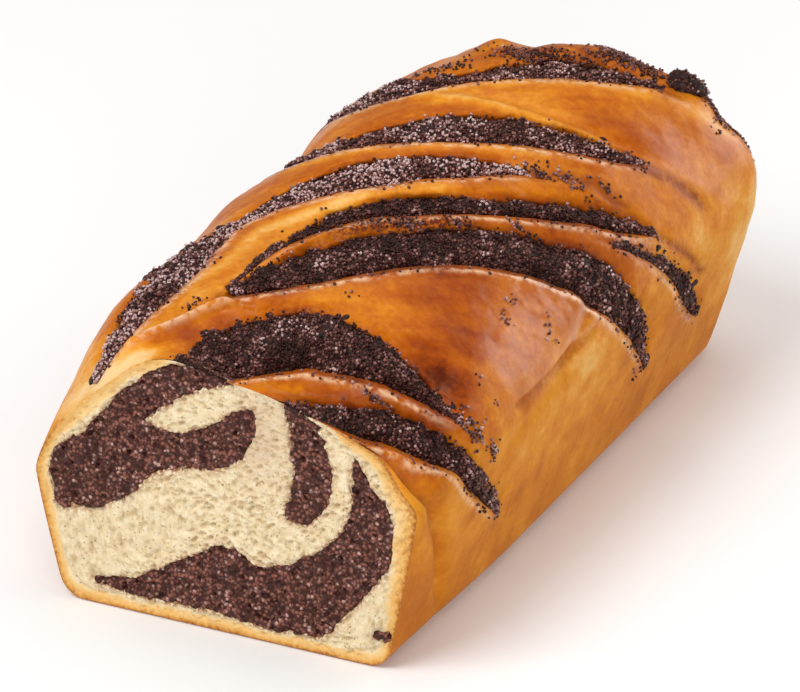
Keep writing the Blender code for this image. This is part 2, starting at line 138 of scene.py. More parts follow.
# Seams of filling on the crown: how strong their relief is, and points as distance over the crown from
# its middle, distance from the cut end, and half the seam's width
SEAMS = {
    "near_crown": (1.1, [
        (-23, -4, 3), (-17, 0, 3.6), (-9, 6, 9.4), (2, 14.5, 10.4), (13, 21, 9.6), (24, 23, 8),
        (36, 24, 5.4), (50, 25, 2.4), (60, 28, 0.6),
    ]),
    "near_right": (0.8, [
        (19, -2, 1.8), (27, 1.5, 2.8), (37, 6, 4.4), (47, 12, 4.2), (59, 17, 4.2), (76, 26, 3.4),
        (90, 41, 2.4), (99, 50, 0.7),
    ]),
    "middle": (1, [
        (-15, 31, 1.8), (-5, 43, 7), (7, 59, 9), (19, 72, 7.8), (33, 86, 7.6), (48, 99, 7.4),
        (64, 112.6, 6.9), (84, 128, 3.3), (96, 137, 0.9),
    ]),
    "middle_far": (0.7, [
        (-17, 34, 0.6), (-14, 56, 1.2), (-5, 76, 3.2), (8, 89, 4.7), (23, 100, 3.4), (36, 113, 3.2),
        (51, 130, 2.8), (61, 143, 0.8),
    ]),
    "left_shoulder": (0.8, [
        (-45, 3, 1.2), (-42, 19, 4.4), (-39, 40, 8.4), (-39.5, 58, 7.8), (-34, 74, 3.2), (-21, 91, 6.6),
        (-9, 102, 7.6), (5, 111, 6.2), (18, 119, 2.8), (26, 124, 0.8),
    ]),
    "far_crown": (0.9, [
        (-41, 115, 3), (-28, 119, 4.2), (-15, 125, 5.4), (-3, 132, 7.6), (10, 138, 7.2),
        (23, 143, 5.4), (36, 149, 2.6), (46, 157, 0.8),
    ]),
    "end_crown": (0.8, [
        (-49, 151, 3), (-38, 153, 7), (-24, 157, 6.2), (-12, 162, 3), (-1, 170.5, 4.6),
        (10, 176.5, 4.2), (23, 181.5, 2.8), (34, 185, 1.2),
    ]),
    "right_arc": (0.6, [
        (54, 123, 0.7), (61, 132, 1.4), (70, 143, 2.2), (80, 153, 2.8), (92, 165, 2), (97, 171, 0.9),
    ]),
}

# Behind a seam the next strand rolls up over this distance, or over its own
WIDE_ROLLS = {"near_crown": 8.0}

# Swells of the crown: distance over the crown, distance from the cut end, reach each way, and height
SWELLS = {
    "near_pillow": (48, 0, 10, 5, 3),
    "left_near": (-53, 46, 16, 24, 2.9),
    "left_middle": (-54, 98, 12, 12, 1.6),
    "left_notch": (-48, 126, 14, 9, -2.4),
    "left_dip": (-57, 140, 9, 7, -3.6),
    "left_end": (-41, 187, 18, 16, -5.8),
    "right_end": (42, 198, 22, 18, 3.4),
    "end_hump": (-15, 187, 4.5, 5, 1.6),
    "end_saddle": (-8, 192, 5, 8, -1.8),
    "end_top": (12, 193, 12, 8, 1.9),
    "right_tail": (50, 196, 5, 7, -1.8),
    "right_bulge": (64, 196, 7, 10, 1),
}

# Layers of filling on the cut end: outlines as places across and up
CUT_LAYERS = {
    "near_crown": [
        (-50.6, 39), (-41, 48), (-30, 61), (-20, 69.5), (-11, 73.2), (2, 70.6), (-3, 68.6), (-12, 64),
        (-20, 58), (-22.5, 54.2), (-14, 53.4), (-6, 56.6), (1, 62), (7, 63.4), (6.4, 55), (0, 46.6),
        (-10, 44), (-21, 39.6), (-30, 31), (-40, 26.6), (-48.6, 26),
    ],
    "near_right": [
        (15.8, 68.4), (17.4, 58), (17.6, 46), (15.6, 36), (22.6, 35.6), (27.6, 44), (28, 53), (25, 62),
        (25.6, 64.2),
    ],
    "lower_swirl": [
        (34.6, 57), (39, 51), (44.6, 43), (44.8, 31), (38.4, 19), (31, 11), (25, 4.4), (10, 3.4),
        (-8, 4.2), (-26, 4.2), (-39, 5.8), (-26, 9.8), (-15, 17), (-1, 24.4), (8, 20.6), (18, 24),
        (29.6, 33), (33.6, 43),
    ],
    "right_spot": [(40, 8), (43, 10), (45.6, 8.6), (43, 6.6)],
}

# Creases: how deep, half how wide, and points as distance over the crown and from the cut end
SHOULDER_LINE = [
    (49, 4.6), (57, 6), (66, 6.3), (74, 7.6), (82, 11.5), (90, 16), (98, 19.5), (107, 23),
]
CREASES = {
    "near_shoulder": (2.6, 2.6, [(41, 1), *SHOULDER_LINE]),
    "broad_lobe": (0.9, 2.2, [(62, 101), (69, 84), (74, 66), (76, 52)]),
}

# Fine lines in the dough: how deep, half how wide, how stained, and points as in the creases. A negative
# depth is a ridge, a negative stain is a painted highlight, and a line without depth is a stain in flecks.
# The stain under the lobe rim is painted shade, the stains at the tin's rim and along the near crease only
# darken the groove, and the rest are filling.
END_LIP = [(-22, 152), (-13, 150.5), (4.5, 150), (16.5, 149.5), (33.5, 151.5)]
LINES = {
    "lobe_rim": (-2.4, 1.6, -1.1, [
        (-41, 7), (-36, 9.5), (-31, 11.5), (-24, 17), (-20, 22), (-16, 26.5), (-9, 28.5),
    ]),
    "under_lobe_rim": (1.2, 1.6, 0.3, [(-38, 12), (-31, 15), (-25, 20.5), (-20, 26.5), (-16, 31)]),
    "behind_far_crown": (0.5, 1.8, 1.3, [
        (33, 147), (39, 151.5), (47, 156.5), (53, 161), (58.5, 165), (67, 171),
    ]),
    "behind_shoulder": (0.3, 2.4, 1.1, [
        (21, 121), (26, 125), (38.5, 135.5), (42, 135.5), (47, 136.5), (54, 141),
    ]),
    "behind_middle_far": (0.4, 1.1, 1, [(59, 141), (66.5, 149.5), (72, 156), (80, 163.5), (84, 171)]),
    "end_lip": (-0.8, 2.4, 0, [*END_LIP, (47, 157.5), (61, 168)]),
    "behind_end_lip": (0.7, 2, 0, [(-10, 155), (4.5, 155), (17, 154.5), (33, 157), (45, 162)]),
    "middle_sliver": (-1.2, 1.3, 0, [(-13.5, 38), (-10, 50), (-6, 64), (2, 72.5), (10, 79)]),
    "sliver_stain": (0, 2.8, 1.3, [(-6, 64), (-1.5, 70), (5, 76.5), (12.5, 82), (20, 88.5), (28, 96)]),
    "tin_rim": (1.3, 1.3, 0.5, [(68, 106), (68.5, 88.5), (69, 74), (69, 57), (68, 48)]),
    "near_crease": (0.7, 0.9, 0.35, [(44, 2.4), *SHOULDER_LINE]),
}

# Places painted paler or darker than the rest: place, reach each way, and how much. Most are baked colour;
# the dark ones along the near seam's far edge, right of the middle, are painted shade, and the pale ones on
# the left strand and beside the cut's right rim are painted highlights.
PATCHES = [
    (22, 37, 14, 9, -0.13), (34, 66, 9, 14, 0.2), (44, 50, 11, 14, 0.2), (52, 33, 10, 8, 0.26),
    (27, 49, 8, 10, 0.08), (4, 164, 22, 9, -0.06), (10, 156, 16, 5, -0.06), (-36, 2, 14, 5, -0.44),
    (-52, 12, 9, 14, -0.2), (88, 150, 14, 20, 0.08), (88, 192, 14, 12, -0.24), (-25, 30, 8, 10, -0.16),
    (-17, 58, 7, 22, -0.2), (-38, 66, 9, 14, -0.1), (29, 164, 15, 7, 0.18), (50, 175, 12, 12, 0.04),
    (-22, 13, 5, 5, 0.26), (-14, 20, 5, 4, 0.24), (-29, 8, 4, 4, 0.14), (-33, 18, 6, 6, -0.14),
    (-40, 4, 13, 7, -0.2), (84, 40, 12, 12, 0.06), (41, 109, 12, 5, 0.17), (19, 108, 10, 4, 0.06),
    (72, 11, 16, 5, 0.2), (60, 1, 14, 2.5, -0.04), (90, 2, 12, 4, 0.06), (44, 33, 8, 5, 0.18),
    (36, 38, 8, 4, 0.14), (110, 8, 16, 16, 0.14), (53, 77, 13, 18, 0.08), (3, 6, 8, 4, -0.08),
    (26, 10, 16, 3, 0.14), (-22, 168, 16, 8, 0.06), (-8, 80, 8, 14, -0.22),
]

# Ridges painted paler as painted highlights: half their width, how much paler, and points as in the creases
SHEENS = {
    "left_ridge": (3, 0.26, [
        (-31, 36), (-25.5, 49), (-24, 66.5), (-17, 76), (-8, 87), (1.5, 96.5), (10, 103),
    ]),
    "far_ridge": (2.6, 0.22, [(-36, 110), (-28, 112), (-15, 117), (-3, 122), (10, 128), (23, 135)]),
    "end_lip": (2.2, 0.2, END_LIP),
    "end_ridge": (2.4, 0.2, [
        (-40, 145), (-24, 150), (-12, 157), (-1, 164), (10, 170.5), (23, 177), (34, 181), (50, 190),
    ]),
}

# Places where the glaze shines: place, reach each way, and how much. It ends at the edge that the tin left.
GLOSSES = [(-20, 60, 9, 32, 0.14), (10, 156, 22, 7, 0.10), (60, 3, 14, 4, 0.25)]
GLOSS_OUTLINES = [
    (0.7, [(39, 64), (38, 80), (46, 93), (56, 101), (68, 104), (72, 78), (67, 55), (51, 52)]),
    (0.45, [(32, 172), (41, 187), (58, 194), (69, 181), (52, 165), (40, 163)]),
]
TIN_EDGE = 67.0

# The crust is glazed from the first to the second of these heights, and shines a little all over and
# more on the strands' crests
GLAZED_HEIGHTS = (44.0, 54.0)
GLOSS_PLAIN = 0.08
GLOSS_CREST = 0.22

# How dark the crust is baked on the walls, how much darker on top, and from which height to which
BAKE_PLAIN = 0.34
BAKE_TOP = 0.17
TOP_HEIGHTS = (46.0, 66.0)

# The way the strands run over the crown and away from the cut, and how many times longer than wide
# the streaks on them are
STRAND_WAY = (0.75, 0.66)
STREAK_LENGTH = 5.0

# The top of the far end, which is stained by filling: place, and reach each way
STAINED_FAR_TOP = (8.0, 186.0, 26.0, 8.0)

# The crumb on the cut: how deep it lies, its pores' spacing and depth, and its baked rim. Behind the layers
# of filling it lies deeper, and near the top, where the swirl is thin, a patch of painted shade darkens it.
CRUMB_DEPTH = 0.45
PORE_SPACING = 2.9
PORE_DEPTH = 0.7
SMALL_PORE_SPACING = 1.2
SMALL_PORE_DEPTH = 0.5
BEHIND_LAYERS = 2.6
RIM_WIDTH = 3.6
WIDER_RIGHT = 2.4
WIDER_LEFT = 3.0
CRUMB_SHADE_PATCH = (9.0, 57.0, 8.0, 13.0)

# The paste on the cut: steps of its grid, which goes this far past its outline, and its grains and pits
PASTE_STEP = 0.34
PASTE_MARGIN = 1.6
PASTE_DEPTH = 0.85
GRAIN_SPACING = 1.5
GRAIN_HEIGHT = 0.7
PIT_SPACING = 3.0
PIT_DEPTH = 1.5

# The paste in the seams: steps of its grid, and how far it goes on under the dough
SEAM_STEP = 0.55
UNDER_DOUGH = 2.2

# The paste's colours, dark, middle and light, and the size of its grains
TOP_PASTE = ((0.012, 0.003, 0.002), (0.070, 0.021, 0.014), (0.26, 0.12, 0.09), 0.9)
CUT_PASTE = ((0.036, 0.008, 0.005), (0.275, 0.100, 0.070), (0.60, 0.36, 0.31), 1.0)

# Seams whose seeds are painted paler, a painted sheen as if light glanced off them, and how much
PALE_SEAMS = {"far_crown": 1.7, "left_shoulder": 2.3, "end_crown": 1.6, "middle": 0.1}

# Poppy seeds: half the length, half the width each way, how many sides, how many seeds in all and on the
# lump, how many lie loose beside a seam for each step of its path, and how pale loose ones are
SEED_RADII = (0.56, 0.45, 0.42)
SEED_SIDES = 6
SEED_COUNT = 16600
LUMP_SEEDS = 150
LOOSE_BESIDE_SEAM = 0.8
LOOSE_LUMPINESS = 0.3

# Places with loose seeds and crumbs of filling: place, reach each way, and how many
SCATTERS = [
    (4, 76, 5, 3, 50), (13, 82, 6, 3, 80), (22, 90, 6, 3, 60), (62, 31, 6, 3, 60),
    (75, 39, 2.5, 2, 24), (27, 127, 6, 2, 50), (46, 74, 2.5, 2.5, 10), (49, 68, 3, 3, 12),
    (58, 80, 4, 3, 14), (55, 43.5, 1.5, 1.5, 5), (63.5, 45, 1.5, 1.5, 5), (14, 42, 2, 2, 5),
    (66, 33, 5, 4, 46), (73, 38, 3, 3, 16), (37, 15.5, 5, 1.2, 40), (34, 131, 8, 2.5, 60),
    (43, 138, 5, 1.5, 20), (44, 155, 4, 1.2, 26), (43.5, 193, 2, 2, 6), (48.5, 191.5, 2, 2, 6),
    (50, 187, 3, 3, 5), (-24, 27, 3, 4, 16),
    (2, 181, 16, 5, 420), (22, 190, 12, 3.5, 340), (14, 194, 5, 1.6, 90), (-22, 171, 8, 4, 60),
    (46, 193.5, 5, 1.3, 120), (54, 197, 5, 1.1, 110), (61, 199, 4, 0.9, 60), (6, 80, 14, 1.8, 60),
    (36, 101, 9, 1.6, 50), (95, 132, 4, 6, 16), (-12, 96, 12, 2, 40), (80, 126, 5, 2, 24),
]

# The lump of filling at the far end: place, radii, turn, and how much it slopes
END_LUMP = ((37.0, 192.2), (5.8, 4.2, 4.4), -30.0)
LUMP_SLOPE = 0.35
LUMP_RINGS = 46
LUMP_SIDES = 64

# Where the photograph was taken from
CAMERA_AZIMUTH = 25.46
CAMERA_ELEVATION = 26.64
CAMERA_DISTANCE = 2.0
CAMERA_TARGET = (0.0038, -0.0134, 0.040)
CAMERA_LENS = 347.1
CAMERA_SENSOR = 36.0

# The studio: softboxes as azimuth, elevation, distance, width, height, power and colour
WHITE = (1.0, 1.0, 1.0)
LAMPS = {
    "window": (153.0, 18.0, 1.6, 1.4, 0.85, 9.5, (1.0, 0.92, 0.87)),
    "key": (-30.0, 52.0, 1.7, 1.0, 1.0, 18.0, WHITE),
    "front": (35.0, 22.0, 2.2, 1.0, 1.0, 14.0, WHITE),
    "overhead": (180.0, 78.0, 1.8, 1.4, 1.4, 9.0, WHITE),
}
WORLD_STRENGTH = 0.32
FLOOR_REACH = 3.0
FLOOR_DROP = 0.0003

SEED = 7


def smooth(x, low, high):
    """0 below low, 1 above high, and an even curve between."""
    t = np.clip((x - low) / (high - low), 0.0, 1.0)
    return t * t * (3.0 - 2.0 * t)


def rounding(v, start, radius):
    """How far a quarter circle that begins at start has turned in."""
    e = np.clip((v - start) / radius, 0.0, 0.999)
    return radius * (1.0 - np.sqrt(1.0 - e * e))


def lattice(i, j, k, seed):
    """A fixed random number from 0 to 1 for each whole-number point."""
    h = (i * 374761393 + j * 668265263 + k * 2147483647 + seed * 1274126177) & 0xFFFFFFFF
    h = ((h ^ (h >> 13)) * 1274126177) & 0xFFFFFFFF
    h = ((h ^ (h >> 16)) * 2246822519) & 0xFFFFFFFF
    return ((h ^ (h >> 15)) & 0xFFFFFF) / float(0xFFFFFF)


def noise(p, size, seed=0):
    """Smooth random hills from -1 to 1, each about size across."""
    q = p / size
    cell = np.floor(q).astype(np.int64)
    f = q - cell
    f = f * f * (3.0 - 2.0 * f)
    total = np.zeros(len(p))
    for corner in product((0, 1), repeat=3):
        w = np.abs(1 - np.array(corner) - f).prod(axis=1)
        total += w * lattice(*(cell + corner).T, seed + SEED)
    return 2.0 * total - 1.0


def rough(p, size, octaves=3, seed=0):
    """Noise with finer noise on it."""
    total = np.zeros(len(p))
    for n in range(octaves):
        total += noise(p + 13.7 * n, size / 2.03**n, seed + n) / 2.0**n
    return total


def cells(p, size, seed=0):
    """Distance to the nearest of scattered points, about one to a cube of that size, as a share of size."""
    q = p / size
    cell = np.floor(q).astype(np.int64)
    best = np.full(len(p), 9.0)
    for step in product((-1, 0, 1), repeat=3):
        c = cell + step
        spot = np.stack([lattice(*c.T, seed + n + SEED) for n in (11, 12, 13)], -1)
        best = np.minimum(best, np.sum((c + spot - q) ** 2, axis=1))
    return np.sqrt(best)


def loaf(phi, v):
    """Points of the plain loaf, for phi from -1, the left foot, over the crest at 0 to 1, the right foot."""
    side = np.sign(phi)
    a = np.abs(phi)
    near = np.clip(1.0 - v / NEAR_REACH, 0.0, 1.0) ** 2
    left = phi < 0.0
    power = FULLNESS - np.where(left, *FULLNESS_LOSS) * near
    width = HALF_WIDTH + END_SPREAD * np.clip(v / LENGTH, 0.0, 1.0) - np.where(left, *WIDTH_LOSS) * near
    widest = WIDEST_HEIGHT - np.where(left, LEFT_SAG, 0.0) * near
    base = BASE_HALF_WIDTH + FOOT_SPREAD * np.where(left, 1.0, smooth(v, 0.0, FOOT_SPREAD_REACH))
    height = CUT_HEIGHT + CROWN_RISE * np.sin(np.clip(v / RISE_REACH, 0.0, 1.0) * np.pi / 2)
    height = height - CROWN_DROP_SHARE * rounding(v, LENGTH - CROWN_END_DROP, CROWN_END_DROP)
    inset = rounding(v, LENGTH - END_ROUNDING, END_ROUNDING)
    angle = np.clip(a / SHOULDER, 0.0, 1.0) * np.pi / 2
    x_top = (width - inset) * np.sin(angle) ** (2.0 / power)
    z_top = widest + (height - widest) * np.cos(angle) ** (2.0 / power)
    q = np.clip((a - SHOULDER) / (1.0 - SHOULDER), 0.0, 1.0)
    z_side = widest * (1.0 - q)
    foot = np.clip(1.0 - z_side / FOOT_ROUNDING, 0.0, 0.999)
    x_side = width + (base - width) * q**WALL_CURVE - inset
    x_side = x_side - FOOT_ROUNDING * (1.0 - np.sqrt(1.0 - foot * foot))
    on_top = a <= SHOULDER
    x = side * np.where(on_top, x_top, x_side)
    z = np.where(on_top, z_top, z_side)
    sunk = smooth(phi, *SINK_LEFT) * (1.0 - smooth(phi, *SINK_RIGHT)) * (1.0 - smooth(v, *SINK_ALONG))
    lip = np.exp(-(((phi - LIP_PLACE) / LIP_HALF_WIDTH) ** 2)) * (1.0 - smooth(v, 0.0, LIP_REACH))
    z = z - CUT_SINK * sunk + LIP_HEIGHT * lip
    leaning = np.clip((v - FLARE_START) / (LENGTH - FLARE_START), 0.0, 1.0) ** 2
    y = v + END_FLARE * leaning * np.clip(z / WIDEST_HEIGHT, 0.0, 1.0)
    return np.stack([x, y, z], -1)


def crown_scale():
    """Distance over the crown from the crest line, for phi from -1 to 1, half way along the loaf."""
    phi = np.linspace(-1.0, 1.0, 801)
    line = loaf(phi, np.full(phi.shape, LENGTH / 2))
    steps = np.linalg.norm(np.diff(line, axis=0), axis=1)
    s = np.concatenate([[0.0], np.cumsum(steps)])
    return phi, s - s[len(s) // 2]


PHI, S = crown_scale()
FOOT = S[-1]


def on_loaf(s, v):
    return loaf(np.interp(s, S, PHI), v)


def hill(s, v, at_s, at_v, reach_s, reach_v):
    """1 at a place on the crown, and less away from it."""
    return np.exp(-(((s - at_s) / reach_s) ** 2) - ((v - at_v) / reach_v) ** 2)


def outward(s, v):
    """Unit normals of the plain loaf."""
    across = on_loaf(s + 0.5, v) - on_loaf(s - 0.5, v)
    along = on_loaf(s, v + 0.5) - on_loaf(s, v - 0.5)
    normal = np.cross(across, along)
    return normal / np.linalg.norm(normal, axis=-1, keepdims=True)


def direction(azimuth, elevation):
    """Unit vector towards a place seen at this azimuth, from the cut end, and this elevation."""
    a, e = np.radians([azimuth, elevation])
    return np.array([np.sin(a) * np.cos(e), -np.cos(a) * np.cos(e), np.sin(e)])


def curve(points, step, closed=False):
    """Points about step apart on a smooth curve through the given ones."""
    p = np.array(points, float)
    count = len(p)
    if closed:
        around = np.concatenate([p[-1:], p, p[:2]])
    else:
        around = np.concatenate([2 * p[:1] - p[1:2], p, 2 * p[-1:] - p[-2:-1]])
        count -= 1
    t = np.linspace(0.0, 1.0, CURVE_SAMPLES, endpoint=False)[:, None]
    pieces = []
    for i in range(count):
        a, b, c, d = around[i : i + 4]
        pieces.append(b + 0.5 * t * (c - a + t * (2 * a - 5 * b + 4 * c - d + t * (3 * (b - c) + d - a))))
    dense = np.concatenate(pieces + [p[:1] if closed else p[-1:]])
    run = np.concatenate([[0.0], np.cumsum(np.linalg.norm(np.diff(dense[:, :2], axis=0), axis=1))])
    marks = np.linspace(0.0, run[-1], max(3, int(round(run[-1] / step)) + 1))
    even = np.stack([np.interp(marks, run, dense[:, k]) for k in range(p.shape[1])], -1)
    return even[:-1] if closed else even


def tangents(path):
    """Unit tangents along a path."""
    along = np.gradient(path[:, :2], axis=0)
    return along / np.linalg.norm(along, axis=1, keepdims=True)


def beside(path, s, v):
    """Where points lie beside a path: distance to its far side, index of the nearest point, and overshoot."""
    tangent = tangents(path)
    nearest = np.zeros(len(s), int)
    best = np.full(len(s), np.inf)
    for i, (ps, pv) in enumerate(path[:, :2]):
        d = (s - ps) ** 2 + (v - pv) ** 2
        closer = d < best
        nearest[closer] = i
        best[closer] = d[closer]
    ds = s - path[nearest, 0]
    dv = v - path[nearest, 1]
    ts, tv = tangent[nearest, 0], tangent[nearest, 1]
    return dv * ts - ds * tv, nearest, np.abs(ds * ts + dv * tv)


def seam_relief(name, s, v):
    """How far a seam moves the dough and its filling along the lean, and where the points lie beside it."""
    strength, points = SEAMS[name]
    roll = WIDE_ROLLS.get(name, ROLL_RADIUS)
    path = curve(points, PATH_STEP)
    e, nearest, beyond = beside(path, s, v)
    half = path[nearest, 2]
    place = np.stack([s, v, np.full(len(s), float(len(name)))], -1)
    ragged = sum(amount * rough(place, size, 2, seed) for amount, size, seed in RAGGED)
    side = np.where(e < 0.0, RAGGED_NEAR_SHARE, 1.0)
    e = e + ragged * side * smooth(half, *RAGGED_WIDTHS)
    fade = np.exp(-((beyond / SEAM_TIP_FADE) ** 2)) * smooth(half, *NARROW_SEAM)
    half = np.maximum(half, LEAST_HALF_WIDTH)
    near = e + half
    far = e - half
    ridge = RIDGE_HEIGHT * strength * fade
    sink = FILLING_SINK * fade
    low = -ridge * np.exp(-np.maximum(near, 0.0) / RIDGE_REACH)
    behind = low - sink * np.exp(-np.maximum(far, 0.0) / roll)
    under = UNDER_FILLING * fade * smooth(near, 0.0, 1.4) * (1.0 - smooth(far, -1.6, 0.0))
    turn = np.clip(1.0 + near / CREST_RADIUS, 0.0, 1.0)
    crest = ridge * np.exp(np.minimum(near, 0.0) / RIDGE_REACH)
    crest -= CREST_DROP * fade * (1.0 - np.sqrt(1.0 - np.minimum(turn, 0.995) ** 2))
    dough = np.where(near < 0.0, crest, behind - under + (crest - behind) * (1.0 - smooth(near, 0.0, 1.2)))
    bulge = FILLING_BULGE * fade * np.clip(1.0 - (e / half) ** 2, 0.0, 1.0)
    return dough, low - sink + bulge, near, far, fade


def swell_relief(s, v):
    """How far the swells stand out from the plain crown."""
    total = np.zeros(len(s))
    for *place, height in SWELLS.values():
        total += height * hill(s, v, *place)
    return total * (1.0 - smooth(v, LENGTH - SWELL_END_FADE, LENGTH))


def line_relief(s, v):
    """Height of the fine lines, and how stained, flecked or pale each place beside them is. The pale is a
    painted highlight, and the stain under the lobe rim is painted shade.
    """
    height = np.zeros(len(s))
    stain = np.zeros(len(s))
    flecks = np.zeros(len(s))
    pale = np.zeros(len(s))
    for depth, half_width, stained, points in LINES.values():
        path = curve(points, PATH_STEP)
        e, nearest, beyond = beside(path, s, v)
        along = nearest / (len(path) - 1.0)
        taper = smooth(along, *LINE_START) * (1.0 - smooth(along, *LINE_END))
        taper *= np.exp(-((beyond / LINE_TIP_FADE) ** 2))
        height -= depth * taper * np.exp(-((e / half_width) ** 2))
        beside_line = stained * taper * np.exp(-((e / (half_width + 0.3)) ** 2))
        if depth == 0.0:
            flecks = np.maximum(flecks, beside_line)
        else:
            stain = np.maximum(stain, beside_line)
        pale = np.maximum(pale, -stained * taper * np.exp(-((e / (0.7 * half_width)) ** 2)))
    return height, stain, flecks, pale


def crease_relief(s, v):
    """How far the creases draw the crown in."""
    inward = np.zeros(len(s))
    for depth, half_width, points in CREASES.values():
        e, _, beyond = beside(curve(points, COARSE_STEP), s, v)
        inward -= depth * np.exp(-((e / half_width) ** 2) - (beyond / CREASE_TIP_FADE) ** 2)
    return inward


def crown(s, v, own=None):
    """Points of the baked surface or of one seam's filling, and for each the marks that its colour needs."""
    shift = np.zeros(len(s))
    marks = {key: np.zeros(len(s)) for key in ("lip", "roll", "crest", "beside")}
    for name in SEAMS:
        dough, filling, near, far, fade = seam_relief(name, s, v)
        shift += filling if name == own else dough
        found = {
            "lip": np.exp(-((near + 0.9) ** 2)) * (1.0 - smooth(near, -0.7, -0.1)),
            "crest": np.exp(-np.maximum(-near, 0.0) / 5.0) * (near < 2.0),
            # Where a strand rolls up behind the seam, later painted darker as shade
            "roll": np.exp(-np.maximum(far, 0.0) / 4.5) * (far > -3.0),
            "beside": np.exp(-np.minimum(np.abs(near), np.abs(far)) / 1.6),
        }
        for key, values in found.items():
            marks[key] = np.maximum(marks[key], fade * values)
    shift *= smooth(v, *CUT_FADE) * (1.0 - smooth(v, LENGTH - END_FADE, LENGTH)) * smooth(s, *LEFT_FADE)
    points = on_loaf(s, v) + shift[:, None] * direction(LEAN_AZIMUTH, LEAN_ELEVATION)
    lines, stain, flecks, pale = line_relief(s, v)
    out = (crease_relief(s, v) + lines) * smooth(v, *LINE_CUT_FADE) + swell_relief(s, v)
    # The line mark holds stains, with painted shade under the lobe rim, and the lip mark also takes the
    # painted highlight along the lobe rim
    marks["line"] = stain
    marks["flecks"] = flecks
    marks["lip"] = np.maximum(marks["lip"], pale)
    return points + out[:, None] * outward(s, v), marks


def in_scene(name, data):
    """An object of the scene made from a mesh, light or camera."""
    made = bpy.data.objects.new(name, data)
    bpy.context.scene.collection.objects.link(made)
    return made


def mesh_object(name, points, faces, look, marks=None):
    """A smooth-shaded mesh from points in the loaf's frame, with a number on each point for each mark."""
    points = np.asarray(points, float).copy()
    points[:, 1] = np.maximum(points[:, 1], 0.0) - CUT_TO_MIDDLE
    points[:, 2] = np.maximum(points[:, 2], 0.0)
    faces = np.asarray(faces, np.int32)
    mesh = bpy.data.meshes.new(name)
    mesh.vertices.add(len(points))
    mesh.vertices.foreach_set("co", (points * MM).astype(np.float32).ravel())
    sides = faces.shape[1]
    mesh.loops.add(faces.size)
    mesh.loops.foreach_set("vertex_index", faces.ravel())
    mesh.polygons.add(len(faces))
    mesh.polygons.foreach_set("loop_start", np.arange(0, faces.size, sides, dtype=np.int32))
    mesh.polygons.foreach_set("use_smooth", np.ones(len(faces), bool))
    mesh.update(calc_edges=True)
    mesh.validate()
    for key, values in (marks or {}).items():
        layer = mesh.attributes.new(key, "FLOAT", "POINT")
        layer.data.foreach_set("value", np.asarray(values, np.float32))
    mesh.materials.append(look)
    return in_scene(name, mesh)


def grid_faces(rows, columns, around=False):
    """Quads of a grid of points, row after row. With around, the last column joins the first."""
    i, j = np.meshgrid(np.arange(rows - 1), np.arange(columns if around else columns - 1), indexing="ij")
    k = (j + 1) % columns
    ahead = i + 1
    corners = [i * columns + j, i * columns + k, ahead * columns + k, ahead * columns + j]
    return np.stack(corners, -1).reshape(-1, 4)


def spaced(stops, steps):
    """Marks from stop to stop, each stretch cut into steps of about the given length."""
    marks = [np.array([stops[0]])]
    for low, high, step in zip(stops, stops[1:], steps):
        count = max(1, int(round((high - low) / step)))
        marks.append(np.linspace(low, high, count + 1)[1:])
    return np.concatenate(marks)


class Look:
    """A material being built from nodes."""

    def __init__(self, name):
        self.material = bpy.data.materials.new(name)
        self.material.use_nodes = True
        self.tree = self.material.node_tree
        self.shader = self.tree.nodes["Principled BSDF"]
        self.place = self.node("ShaderNodeTexCoord").outputs["Object"]

    def put(self, socket, value):
        """Link what another node gives, and set anything else on the socket itself."""
        if hasattr(value, "is_output"):
            self.tree.links.new(value, socket)
        else:
            socket.default_value = value

    def node(self, kind, inputs=(), **settings):
        made = self.tree.nodes.new(kind)
        for key, value in settings.items():
            setattr(made, key, value)
        for key, value in dict(inputs).items():
            self.put(made.inputs[key], value)
        return made

    def mark(self, name):
        return self.node("ShaderNodeAttribute", attribute_name=name).outputs["Fac"]

    def noise(self, size_mm, detail=4.0, roughness=0.6):
        inputs = {"Vector": self.place, "Scale": 1.0 / (size_mm * MM)}
        inputs.update(Detail=detail, Roughness=roughness)
        return self.node("ShaderNodeTexNoise", inputs).outputs["Fac"]

    def ramp(self, fac, stops):
        made = self.node("ShaderNodeValToRGB", {"Fac": fac})
        elements = made.color_ramp.elements
        while len(elements) < len(stops):
            elements.new(0.5)
        for element, (place, colour) in zip(elements, stops):
            element.position = place
            element.color = (*colour, 1.0)
        return made.outputs["Color"]

    def math(self, operation, a, b=0.0, clamp=False):
        made = self.node("ShaderNodeMath", {0: a, 1: b}, operation=operation, use_clamp=clamp)
        return made.outputs["Value"]

    def span(self, value, low, high, new_low=0.0, new_high=1.0):
        made = self.node(
            "ShaderNodeMapRange",
            {"Value": value, "From Min": low, "From Max": high, "To Min": new_low, "To Max": new_high},
            interpolation_type="SMOOTHSTEP",
        )
        return made.outputs["Result"]

    def mix(self, fac, a, b):
        made = self.node("ShaderNodeMix", {0: fac}, data_type="RGBA")
        for index, value in ((6, a), (7, b)):
            self.put(made.inputs[index], (*value, 1.0) if isinstance(value, tuple) else value)
        return made.outputs[2]

    def bump(self, height, distance_mm, strength=1.0, before=None):
        inputs = {"Height": height, "Distance": distance_mm * MM, "Strength": strength}
        if before:
            inputs["Normal"] = before
        return self.node("ShaderNodeBump", inputs).outputs["Normal"]

    def finish(self, **inputs):
        for key, value in inputs.items():
            self.put(self.shader.inputs[key.replace("_", " ")], value)
        return self.material


